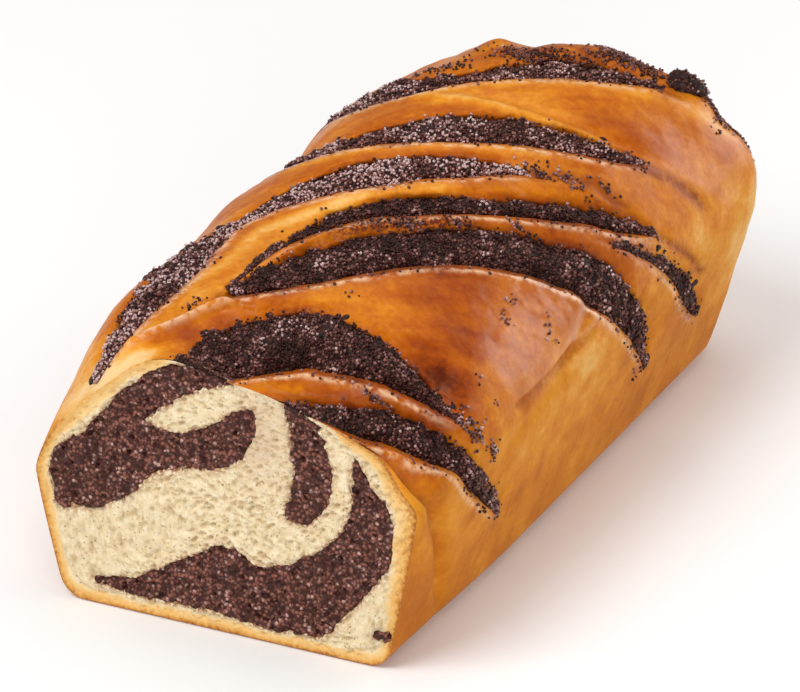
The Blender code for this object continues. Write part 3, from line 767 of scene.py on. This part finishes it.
def crust_look():
    """Baked crust: the more baked the darker, with painted shade and painted highlights in that darkness,
    glaze, pale lips with a painted highlight along the lobe rim, brown lines with painted shade under the
    lobe rim, and stains of filling.
    """
    look = Look("baked_crust")
    # The bake mark holds the baked colour, with painted shade and painted highlights in it
    level = look.mark("bake_and_light")
    for size_mm, amount in ((11.0, 0.38), (4.0, 0.24), (1.5, 0.30)):
        mottle = look.math("SUBTRACT", look.noise(size_mm), 0.5)
        level = look.math("ADD", level, look.math("MULTIPLY", mottle, amount))
    level = look.math("ADD", level, 0.0, clamp=True)
    colour = look.ramp(level, [
        (0.0, (0.85, 0.56, 0.25)),
        (0.15, (0.80, 0.43, 0.11)),
        (0.30, (0.72, 0.27, 0.018)),
        (0.45, (0.59, 0.17, 0.005)),
        (0.60, (0.45, 0.10, 0.003)),
        (0.78, (0.32, 0.052, 0.003)),
        (1.0, (0.10, 0.012, 0.003)),
    ])
    glaze = look.mark("glaze")
    colour = look.mix(look.span(glaze, 0.0, 1.0, 0.30, 0.0), colour, (0.57, 0.24, 0.022))
    # Pale lips, with a painted highlight along the lobe rim
    lip = look.math("MULTIPLY", look.mark("lip"), look.span(look.noise(2.6, 3.0), 0.36, 0.60))
    colour = look.mix(look.math("MULTIPLY", lip, 0.85), colour, (0.80, 0.50, 0.29))
    # Brown lines, with painted shade under the lobe rim
    line = look.math("MULTIPLY", look.mark("line"), look.span(look.noise(3.0, 3.0), 0.34, 0.60, 0.45, 1.0))
    colour = look.mix(line, colour, (0.30, 0.062, 0.006))
    stain = look.math("MULTIPLY", look.mark("stain"), look.span(look.noise(1.1, 4.0, 0.7), 0.42, 0.58))
    colour = look.mix(stain, colour, (0.13, 0.022, 0.010))
    normal = look.bump(look.noise(6.0, 3.0, 0.5), 0.45, 0.35)
    normal = look.bump(look.noise(1.3, 4.0, 0.6), 0.16, 0.5, normal)
    return look.finish(
        Base_Color=colour,
        Roughness=look.span(glaze, 0.0, 1.0, 0.6, 0.42),
        Normal=normal,
        Specular_IOR_Level=0.18,
        Specular_Tint=(1.0, 0.55, 0.2, 1.0),
        Coat_Weight=look.mark("gloss"),
        Coat_Roughness=0.22,
    )


def crumb_look():
    """Cream crumb with painted shade in its pores, smears of filling, and the baked rim of the crust around
    it.
    """
    look = Look("crumb")
    rim = look.mark("rim")
    fluff = look.noise(2.2, 5.0, 0.7)
    colour = look.ramp(fluff, [
        (0.28, (0.56, 0.40, 0.205)),
        (0.44, (0.78, 0.62, 0.38)),
        (0.60, (0.86, 0.73, 0.50)),
        (0.80, (0.93, 0.84, 0.64)),
    ])
    # Painted shade in the pores
    colour = look.mix(look.math("MULTIPLY", look.mark("pit"), 0.55), colour, (0.46, 0.30, 0.13))
    specks = look.span(look.noise(0.8, 1.0, 0.4), 0.68, 0.72)
    colour = look.mix(look.math("MULTIPLY", specks, 0.7), colour, (0.22, 0.12, 0.05))
    smear = look.math("MULTIPLY", look.mark("smear"), look.span(look.noise(1.0, 3.0), 0.40, 0.56))
    colour = look.mix(smear, colour, (0.30, 0.12, 0.055))
    # Painted shade over the dip in the crumb near the top
    colour = look.mix(look.math("MULTIPLY", look.mark("painted_shade"), 0.6), colour, (0.58, 0.41, 0.28))
    grain = look.noise(1.2, 4.0, 0.65)
    place = look.math("ADD", rim, look.math("MULTIPLY", look.math("SUBTRACT", grain, 0.5), 0.8), clamp=True)
    baked = look.ramp(place, [
        (0.0, (0.36, 0.12, 0.022)),
        (0.13, (0.60, 0.27, 0.055)),
        (0.35, (0.78, 0.44, 0.13)),
        (0.75, (0.84, 0.58, 0.26)),
        (1.0, (0.84, 0.68, 0.42)),
    ])
    colour = look.mix(look.span(place, 0.72, 1.0), baked, colour)
    normal = look.bump(look.noise(1.0, 5.0, 0.7), 0.45, 0.9)
    return look.finish(Base_Color=colour, Roughness=0.8, Normal=normal, Specular_IOR_Level=0.2)


def filling_look(name, dark, middle, light, grain_mm):
    """Poppy paste: painted shade between its grains and in scattered crevices, and each grain of its own
    brown or grey.
    """
    look = Look(name)
    grains = look.node("ShaderNodeTexVoronoi", {"Vector": look.place, "Scale": 1.0 / (grain_mm * MM)})
    pick = look.node("ShaderNodeSeparateColor", {"Color": grains.outputs["Color"]}).outputs["Red"]
    colour = look.ramp(pick, [(0.0, dark), (0.45, middle), (0.8, middle), (1.0, light)])
    # Painted shade in the gaps between the grains
    between = look.span(grains.outputs["Distance"], 0.35, 0.62, 0.0, 0.85)
    colour = look.mix(between, colour, dark)
    # Painted shade as dark crevices, scattered by noise
    deep = look.span(look.noise(2.6, 3.0, 0.6), 0.36, 0.54, 0.75, 0.0)
    colour = look.mix(deep, colour, dark)
    lump = look.math("SUBTRACT", 1.0, grains.outputs["Distance"])
    normal = look.bump(look.noise(2.2, 4.0, 0.65), 0.7, 0.8)
    normal = look.bump(lump, 0.5, 1.0, normal)
    return look.finish(Base_Color=colour, Roughness=0.5, Normal=normal, Specular_IOR_Level=0.22)


def seed_look():
    """Poppy seeds, each dark brown to grey by its shade mark, which holds each seed's own tone with painted
    shade in hollows and a painted sheen on some seams.
    """
    look = Look("poppy_seeds")
    colour = look.ramp(look.mark("shade"), [
        (0.0, (0.012, 0.003, 0.002)),
        (0.30, (0.045, 0.013, 0.010)),
        (0.55, (0.15, 0.055, 0.045)),
        (0.75, (0.32, 0.160, 0.142)),
        (1.0, (0.64, 0.46, 0.44)),
    ])
    normal = look.bump(look.noise(0.25, 2.0), 0.05, 0.6)
    return look.finish(
        Base_Color=colour,
        Roughness=0.4,
        Normal=normal,
        Specular_IOR_Level=0.28,
        Specular_Tint=(1.0, 0.75, 0.70, 1.0),
    )


def bake_and_painted_light(points, s, v, marks):
    """How dark the crust is baked: pale at the tin's walls, deep on the crown and on the crests, with painted
    shade where a strand rolls up behind a seam, and painted highlights along ridges and in some patches.
    """
    height = points[:, 2]
    top = smooth(height, *TOP_HEIGHTS)
    level = BAKE_PLAIN + BAKE_TOP * top
    # Darker on the strands' crests, and painted shade where a strand rolls up behind a seam
    level += 0.10 * marks["crest"] * top + 0.13 * marks["roll"] * top
    level += 0.07 * rough(points, 30.0, 3, 5) * smooth(height, 8.0, 40.0)
    level += 0.12 * (1.0 - smooth(height, 12.0, 42.0))
    level += (0.09 * rough(points, 12.0, 3, 6) + 0.09 * noise(points, 4.5, 9)) * (1.0 - 0.8 * top)
    over, away = STRAND_WAY
    along = over * s + away * v
    across = -away * s + over * v
    strand = np.stack([along / STREAK_LENGTH, across, np.zeros(len(s))], -1)
    level += 0.075 * rough(strand, 3.6, 3, 51) * top
    # Patches of baked colour, some of them painted shade or painted highlights
    for *place, amount in PATCHES:
        level += amount * hill(s, v, *place)
    # Painted highlights along the ridges
    for half_width, amount, path_points in SHEENS.values():
        e, _, beyond = beside(curve(path_points, COARSE_STEP), s, v)
        level -= amount * np.exp(-((e / half_width) ** 2) - (beyond / SHEEN_TIP_FADE) ** 2)
    return level


def make_crust(look):
    """The crust from foot to foot, its points ring after ring, and its marks along the far edge."""
    s = spaced((-FOOT, *CRUST_STOPS, FOOT), CRUST_STEPS)
    v = spaced(CRUST_STOPS_ALONG, CRUST_STEPS_ALONG)
    grid_v, grid_s = np.meshgrid(v, s, indexing="ij")
    flat_s, flat_v = grid_s.ravel(), grid_v.ravel()
    points, marks = crown(flat_s, flat_v)
    height = points[:, 2]
    lift = 0.22 * rough(points, 9.0, 3, 21) + 0.07 * rough(points, 2.5, 2, 25) * smooth(height, 50.0, 60.0)
    lift *= smooth(height, 2.0, 14.0) * smooth(flat_v, 0.0, 6.0)
    points = points + outward(flat_s, flat_v) * lift[:, None]
    flat = np.stack([flat_s, flat_v], -1)
    place = np.stack([flat_s, flat_v, np.zeros(len(flat_s))], -1)
    far_top = hill(flat_s, flat_v, *STAINED_FAR_TOP)
    patchy = smooth(noise(place, 7.0, 61), -0.1, 0.5)
    marks["stain"] = np.maximum(marks["beside"] * patchy, marks["flecks"])
    marks["stain"] = np.maximum(marks["stain"], 0.9 * far_top * smooth(noise(place, 3.0, 63), 0.0, 0.4))
    marks["line"] = np.maximum(marks["line"], 1.3 * far_top * smooth(noise(place, 6.0, 65), -0.8, 0.3))
    glaze = smooth(points[:, 2], *GLAZED_HEIGHTS)
    gloss = GLOSS_PLAIN + GLOSS_CREST * marks["crest"]
    for at_s, at_v, reach_s, reach_v, amount in GLOSSES:
        away = ((flat_s - at_s) / reach_s) ** 2 + ((flat_v - at_v) / reach_v) ** 2
        gloss += amount * np.exp(-(away**2))
    for amount, outline in GLOSS_OUTLINES:
        gloss += amount * smooth(inside_distance(flat, curve(outline, GLOSS_STEP, closed=True)), -2.0, 2.0)
    beyond_edge = smooth(flat_s, TIN_EDGE - 1.5, TIN_EDGE + 1.0) * (flat_v < LENGTH / 2)
    crust_marks = {
        "bake_and_light": bake_and_painted_light(points, flat_s, flat_v, marks),
        "glaze": glaze,
        "gloss": glaze * gloss * (1.0 - 0.8 * beyond_edge),
        **{key: marks[key] for key in ("lip", "line", "stain")},
    }
    crust = mesh_object("crust", points, grid_faces(len(v), len(s)), look, crust_marks)
    far_edge = {key: values[-len(s) :] for key, values in crust_marks.items()}
    return crust, points.reshape(len(v), len(s), 3), far_edge


def bare_marks(points, bake_and_light, seed):
    """Marks of crust without glaze, lips or stains, baked this dark."""
    marks = {key: np.zeros(len(points)) for key in ("lip", "line", "stain", "glaze", "gloss")}
    marks["bake_and_light"] = bake_and_light + 0.05 * rough(points, 18.0, 3, seed)
    return marks


def closed_section(ring, bottom_points):
    """The outline of the loaf's section, across and up, from its left foot round and back along the base."""
    top = ring[:, ::2]
    bottom = np.linspace(ring[-1, 0], ring[0, 0], bottom_points)[1:-1]
    return np.concatenate([top, np.stack([bottom, np.zeros(len(bottom))], -1)])


def make_base(ring, far_edge, look):
    """The flat underside and the far end, which close the crust."""
    across = np.linspace(0.0, 1.0, UNDERSIDE_POINTS)[None, :, None]
    under = ring[:, :1] * (1.0 - across) + ring[:, -1:] * across
    rows, columns = under.shape[:2]
    points = under.reshape(-1, 3)
    marks = bare_marks(points, 0.46, 31)
    base = mesh_object("underside", points, grid_faces(rows, columns)[:, ::-1], look, marks)
    flat = closed_section(ring[-1], END_BOTTOM_POINTS)
    shares = np.linspace(1.0, 0.0, END_RINGS)[:, None, None]
    face = RINGS_CENTRE + (flat[None] - RINGS_CENTRE) * shares
    depth = np.interp(face[..., 1], [0.0, WIDEST_HEIGHT], [LENGTH, LENGTH + END_FLARE])
    points = np.stack([face[..., 0], depth, face[..., 1]], -1).reshape(-1, 3)
    faces = grid_faces(END_RINGS, len(flat), around=True)
    marks = bare_marks(points, 0.36, 32)
    near_edge = shares[..., 0] ** 2
    for key, plain in marks.items():
        edge = far_edge[key]
        around = np.concatenate([edge, np.linspace(edge[-1], edge[0], END_BOTTOM_POINTS)[1:-1]])
        marks[key] = (plain.reshape(END_RINGS, -1) * (1.0 - near_edge) + around * near_edge).ravel()
    return base, mesh_object("far_end", points, faces, look, marks)


def inside_distance(points, outline):
    """Distance to a closed outline, positive inside it."""
    nearest = np.full(len(points), np.inf)
    crossings = np.zeros(len(points), int)
    ahead = np.roll(outline, -1, axis=0)
    for (ax, az), (bx, bz) in zip(outline, ahead):
        ex, ez = bx - ax, bz - az
        t = np.clip(((points[:, 0] - ax) * ex + (points[:, 1] - az) * ez) / (ex * ex + ez * ez + 1e-9), 0, 1)
        nearest = np.minimum(nearest, (points[:, 0] - ax - t * ex) ** 2 + (points[:, 1] - az - t * ez) ** 2)
        spans = (az > points[:, 1]) != (bz > points[:, 1])
        if ez != 0.0:
            crossings += spans & (points[:, 0] < ax + (points[:, 1] - az) * ex / ez)
    return np.sqrt(nearest) * np.where(crossings % 2 == 1, 1.0, -1.0)


def on_cut(flat, depth):
    """Points of the cut end from places across and up, and how far behind the cut they lie."""
    return np.stack([flat[:, 0], depth, flat[:, 1]], -1)


def layer_edges(flat, place):
    """For each cut layer, how far inside its ragged outline the points of the cut lie."""
    ragged = 0.55 * rough(place, 3.4, 3, 71) + 0.25 * rough(place, 1.0, 2, 72)
    return {
        name: inside_distance(flat, curve(points, LAYER_STEP, closed=True)) + ragged
        for name, points in CUT_LAYERS.items()
    }


def make_cut(ring, look):
    """The crumb on the cut end: a sheet with pores, sunk where a layer of filling shows."""
    outline = closed_section(ring[0], CUT_BOTTOM_POINTS)
    shares = np.linspace(0.0, 1.0, CUT_RINGS) ** 0.8
    flat = (RINGS_CENTRE + (outline[None] - RINGS_CENTRE) * shares[:, None, None]).reshape(-1, 2)
    x, z = flat.T
    place = on_cut(flat, np.zeros(len(flat)))
    inside = np.max(list(layer_edges(flat, place).values()), axis=0)
    rim = np.maximum(inside_distance(flat, outline), 0.0)
    turned = np.stack([0.8 * x + 0.6 * z, np.zeros(len(flat)), -0.9 * x + 1.2 * z], -1)
    holes = smooth(0.46 - cells(turned, PORE_SPACING, 81), 0.0, 0.32)
    small = smooth(0.46 - cells(place, SMALL_PORE_SPACING, 84), 0.0, 0.3)
    depth = CRUMB_DEPTH + 0.34 * rough(place, 2.4, 3, 86) + PORE_DEPTH * holes + SMALL_PORE_DEPTH * small
    depth *= smooth(rim, 0.2, 2.4)
    depth = np.maximum(depth, 0.0) + BEHIND_LAYERS * smooth(inside, -0.1, 1.1)
    right = smooth(x, 30.0, 44.0) * smooth(z, 12.0, 24.0)
    top_left = smooth(-x, 8.0, 26.0) * smooth(z, 44.0, 54.0)
    bare_top = smooth(x, -20.0, -13.0) * (1.0 - smooth(x, 27.0, 33.0)) * smooth(z, 54.0, 60.0)
    rim_width = RIM_WIDTH + WIDER_RIGHT * right + WIDER_LEFT * top_left
    rim_width *= 1.0 + 0.3 * rough(place, 9.0, 2, 88)
    marks = {
        "rim": np.clip(rim / rim_width + bare_top + 0.30 * top_left, 0.0, 1.0),
        "pit": np.clip(holes + 0.4 * small, 0.0, 1.0),
        "smear": np.exp(-np.maximum(-inside, 0.0) / 0.7),
        # A patch of painted shade near the top
        "painted_shade": hill(x, z, *CRUMB_SHADE_PATCH),
    }
    faces = grid_faces(len(shares), len(outline), around=True)[:, ::-1]
    return mesh_object("crumb", on_cut(flat, depth), faces, look, marks)


def make_cut_layer(name, outline_limit, look):
    """A layer of filling on the cut end: rough paste that stands level with the crumb."""
    outline = curve(CUT_LAYERS[name], LAYER_STEP, closed=True)
    low, high = outline.min(axis=0) - PASTE_MARGIN, outline.max(axis=0) + PASTE_MARGIN
    x = np.arange(low[0], high[0], PASTE_STEP)
    z = np.arange(low[1], high[1], PASTE_STEP)
    grid_z, grid_x = np.meshgrid(z, x, indexing="ij")
    flat = np.stack([grid_x.ravel(), grid_z.ravel()], -1)
    place = on_cut(flat, np.zeros(len(flat)))
    inside = layer_edges(flat, place)[name]
    grains = smooth(0.58 - cells(place, GRAIN_SPACING, 91), 0.0, 0.45)
    pits = smooth(0.34 - cells(place, PIT_SPACING, 95), 0.0, 0.22)
    depth = PASTE_DEPTH + 0.5 * rough(place, 4.0, 3, 92) - GRAIN_HEIGHT * grains + PIT_DEPTH * pits
    depth = np.maximum(depth, 0.0) + 2.4 * (1.0 - smooth(inside, -1.0, 0.3))
    points = on_cut(flat, depth)
    faces = grid_faces(len(z), len(x))
    limit = inside_distance(flat, outline_limit)
    keep = (inside > -1.3) & (limit > 0.1)
    faces = faces[keep[faces].all(axis=1)]
    used = np.unique(faces)
    index = np.zeros(len(flat), int)
    index[used] = np.arange(len(used))
    return mesh_object("filling_cut_" + name, points[used], index[faces], look)


def make_seam(name, look):
    """The filling that shows in a seam of the crown, and the places where its seeds lie."""
    path = curve(SEAMS[name][1], SEAM_STEP)
    tangent = tangents(path)
    side = np.stack([-tangent[:, 1], tangent[:, 0]], -1)
    half = (path[:, 2] + UNDER_DOUGH * smooth(path[:, 2], 0.3, 2.0) + 0.3) * smooth(path[:, 1], -4.5, 0.0)
    columns = 2 * int(np.ceil(half.max() / SEAM_STEP)) + 1
    shares = np.linspace(-1.0, 1.0, columns)
    at = path[:, None, :2] + side[:, None] * (shares[None, :, None] * half[:, None, None])
    s, v = at[..., 0].ravel(), at[..., 1].ravel()
    points, _ = crown(s, v, name)
    normal = outward(s, v)
    lumps = 0.8 * rough(points, 5.0, 2, 101) + 1.5 * (0.55 - cells(points, 3.4, 103))
    lumps += 0.6 * (0.5 - cells(points, 1.7, 105))
    lumps *= smooth(v, 0.0, 3.0)
    points = points + normal * lumps[:, None]
    piece = mesh_object("filling_seam_" + name, points, grid_faces(len(path), columns), look)
    across = np.abs(shares[None, :] * half[:, None]) / np.maximum(path[:, None, 2], 0.3)
    shown = (across.ravel() < 1.15) & (points[:, 1] > 0.2)
    return piece, points[shown], normal[shown], lumps[shown]


def seed_shape():
    """Corners and faces of a poppy seed of unit size, drawn together at both ends."""
    turn = np.linspace(0.0, 2.0 * np.pi, SEED_SIDES, endpoint=False)
    around = np.stack([np.zeros(SEED_SIDES), np.cos(turn), np.sin(turn)], -1)
    corners = np.concatenate([around, [(1.0, 0.0, 0.0), (-1.0, 0.0, 0.0)]])
    front, back = SEED_SIDES, SEED_SIDES + 1
    faces = []
    for i in range(SEED_SIDES):
        k = (i + 1) % SEED_SIDES
        faces += [(i, k, front), (k, i, back)]
    return corners, np.array(faces)


def make_seeds(name, spots, normals, lumps, draw, look):
    """One joined mesh of seeds, each turned its own way and half sunk where it lies."""
    shape, faces = seed_shape()
    count = len(spots)
    turn = draw.normal(size=(count, 4))
    turn /= np.linalg.norm(turn, axis=1, keepdims=True)
    w, x, y, z = turn.T
    matrix = np.stack([
        1 - 2 * (y * y + z * z), 2 * (x * y - z * w), 2 * (x * z + y * w),
        2 * (x * y + z * w), 1 - 2 * (x * x + z * z), 2 * (y * z - x * w),
        2 * (x * z - y * w), 2 * (y * z + x * w), 1 - 2 * (x * x + y * y),
    ], -1).reshape(-1, 3, 3)
    scale = draw.uniform(0.7, 1.2, size=(count, 1, 1))
    local = shape[None] * np.array(SEED_RADII) * scale
    centres = spots + normals * draw.uniform(-0.1, 0.4, (count, 1))
    placed = np.einsum("nij,nkj->nki", matrix, local) + centres[:, None]
    joined = (faces[None] + len(shape) * np.arange(count)[:, None, None]).reshape(-1, 3)
    # Each seed's tone varies at random and by clumps; seeds on high lumps are painted lighter and those in
    # hollows darker, a painted shade, and the paler seams add a painted sheen
    clump_tone_and_shade = 0.45 * smooth(noise(spots, 4.5, 121), -0.6, 0.6) + 0.3 * smooth(noise(spots, 9.0, 123), -0.5, 0.5)
    clump_tone_and_shade += 0.5 * smooth(lumps, -0.6, 0.8) + 0.18 * np.maximum(lumps - 0.8, 0.0)
    shade = draw.uniform(0.28, 1.16, count) * (0.04 + 0.78 * clump_tone_and_shade)
    return mesh_object(name, placed.reshape(-1, 3), joined, look, {"shade": np.repeat(shade, len(shape))})


def scattered(draw):
    """Places of the loose seeds on the dough, and which way is out there."""
    s, v = [], []
    for at_s, at_v, reach_s, reach_v, count in SCATTERS:
        s.append(at_s + draw.normal(0.0, 0.5 * reach_s, count))
        v.append(at_v + draw.normal(0.0, 0.5 * reach_v, count))
    for name, (_, points) in SEAMS.items():
        path = curve(points, PATH_STEP)
        tangent = tangents(path)
        chosen = draw.integers(0, len(path), int(len(path) * LOOSE_BESIDE_SEAM))
        way = draw.choice([-1.0, 1.0, 1.0], len(chosen))
        reach = path[chosen, 2] + draw.exponential(0.6, len(chosen)) - 0.2
        s.append(path[chosen, 0] - tangent[chosen, 1] * way * reach)
        v.append(path[chosen, 1] + tangent[chosen, 0] * way * reach)
    s, v = np.concatenate(s), np.clip(np.concatenate(v), 1.0, LENGTH - 1.0)
    points, _ = crown(s, v)
    return points, outward(s, v)


def make_lump(look):
    """The lump of filling at the far end, the places of its seeds, and which way is out there."""
    (s, v), radii, turn = END_LUMP
    centre = crown(np.array([s]), np.array([v]))[0][0]
    u = np.linspace(0.02, np.pi - 0.02, LUMP_RINGS)
    w = np.linspace(0.0, 2.0 * np.pi, LUMP_SIDES, endpoint=False)
    grid_u, grid_w = np.meshgrid(u, w, indexing="ij")
    ball = np.stack([np.cos(grid_u), np.sin(grid_u) * np.cos(grid_w), np.sin(grid_u) * np.sin(grid_w)], -1)
    ball = ball.reshape(-1, 3)
    size = 0.88 + 0.15 * rough(ball * 6.0 + 40.0, 3.4, 3, 111) + 0.12 * (0.5 - cells(ball * 6.0, 2.0, 113))
    local = ball * size[:, None] * np.array(radii)
    c, d = np.cos(np.radians(turn)), np.sin(np.radians(turn))
    points = centre + np.stack([
        local[:, 0] * c + local[:, 1] * d,
        -local[:, 0] * d + local[:, 1] * c,
        local[:, 2] - LUMP_SLOPE * local[:, 0],
    ], -1)
    piece = mesh_object("filling_lump", points, grid_faces(len(u), len(w), around=True), look)
    return piece, points, ball


def look_at(out):
    """Rotation that points an object's -Z back along the given direction."""
    return Vector(-out).to_track_quat("-Z", "Y").to_euler()


def make_lamp(name, azimuth, elevation, distance, width, height, power, colour):
    """A softbox that faces the loaf."""
    light = bpy.data.lights.new(name, "AREA")
    light.shape = "RECTANGLE"
    light.size = width
    light.size_y = height
    light.energy = power
    light.color = colour
    made = in_scene(name, light)
    out = direction(azimuth, elevation)
    made.location = [float(c) * distance for c in out]
    made.rotation_euler = look_at(out)


def make_studio():
    """A pale floor, soft light, and the camera where the photograph was taken from."""
    mesh = bpy.data.meshes.new("floor")
    corners = [(a * FLOOR_REACH, b * FLOOR_REACH, 0.0) for a, b in ((-1, -1), (1, -1), (1, 1), (-1, 1))]
    mesh.from_pydata(corners, [], [(0, 1, 2, 3)])
    floor = in_scene("floor", mesh)
    floor.location.z = -FLOOR_DROP
    mesh.materials.append(Look("pale_floor").finish(Base_Color=(0.9, 0.9, 0.9, 1.0), Roughness=0.7))
    world = bpy.data.worlds.new("studio")
    world.use_nodes = True
    background = world.node_tree.nodes["Background"]
    background.inputs["Color"].default_value = (*WHITE, 1.0)
    background.inputs["Strength"].default_value = WORLD_STRENGTH
    scene = bpy.context.scene
    scene.world = world
    for name, settings in LAMPS.items():
        make_lamp(name, *settings)
    scene.view_settings.view_transform = "Standard"
    scene.view_settings.look = "None"
    camera = in_scene("camera", bpy.data.cameras.new("camera"))
    camera.data.sensor_width = CAMERA_SENSOR
    camera.data.lens = CAMERA_LENS
    camera.data.clip_end = 20.0
    out = direction(CAMERA_AZIMUTH, CAMERA_ELEVATION)
    camera.location = [t + float(c) * CAMERA_DISTANCE for t, c in zip(CAMERA_TARGET, out)]
    camera.rotation_euler = look_at(out)
    scene.camera = camera


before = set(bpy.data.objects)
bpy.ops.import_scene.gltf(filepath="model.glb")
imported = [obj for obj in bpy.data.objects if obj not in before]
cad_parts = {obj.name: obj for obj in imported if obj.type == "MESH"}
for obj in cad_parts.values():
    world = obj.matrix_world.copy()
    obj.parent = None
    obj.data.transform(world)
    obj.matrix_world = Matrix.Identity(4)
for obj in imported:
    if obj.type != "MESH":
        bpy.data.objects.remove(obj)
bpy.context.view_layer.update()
draw = np.random.default_rng(SEED)
crust_material = crust_look()
crumb_material = crumb_look()
top_paste = filling_look("poppy_paste_top", *TOP_PASTE)
cut_paste = filling_look("poppy_paste_cut", *CUT_PASTE)
seeds_material = seed_look()

crust, ring, far_edge = make_crust(crust_material)
underside, far_end = make_base(ring, far_edge, crust_material)
crumb = make_cut(ring, crumb_material)
for piece in (crust, underside, far_end, crumb):
    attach(piece, "root")
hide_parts("dough")

section = ring[0, :, ::2]
made_for = {}
spots, normals, lumps = [], [], []
for name in SEAMS:
    piece, places, outs, heights = make_seam(name, top_paste)
    made_for.setdefault("filling_" + name, []).append(piece)
    spots.append(places)
    normals.append(outs)
    # The paler seams' offset paints a sheen on their seeds
    lumps.append(heights + PALE_SEAMS.get(name, 0.0))
for name in CUT_LAYERS:
    made_for.setdefault("filling_" + name, []).append(make_cut_layer(name, section, cut_paste))
lump, places, outs = make_lump(top_paste)
made_for["filling_end_lump"] = [lump]
spots, normals, lumps = np.concatenate(spots), np.concatenate(normals), np.concatenate(lumps)
loose, loose_normals = scattered(draw)
wanted = SEED_COUNT - len(loose) - LUMP_SEEDS
chosen = draw.choice(len(spots), min(len(spots), wanted), replace=False)
on_lump = draw.choice(len(places), LUMP_SEEDS, replace=False)
spots = np.concatenate([spots[chosen], loose, places[on_lump]])
normals = np.concatenate([normals[chosen], loose_normals, outs[on_lump]])
lumps = np.concatenate([lumps[chosen], np.full(len(loose) + len(on_lump), LOOSE_LUMPINESS)])
for node, pieces in made_for.items():
    for piece in pieces:
        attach(piece, "root")
    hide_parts(node)
seeds = make_seeds("poppy_seeds", spots, normals, lumps, draw, seeds_material)
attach(seeds, "root")
make_studio()
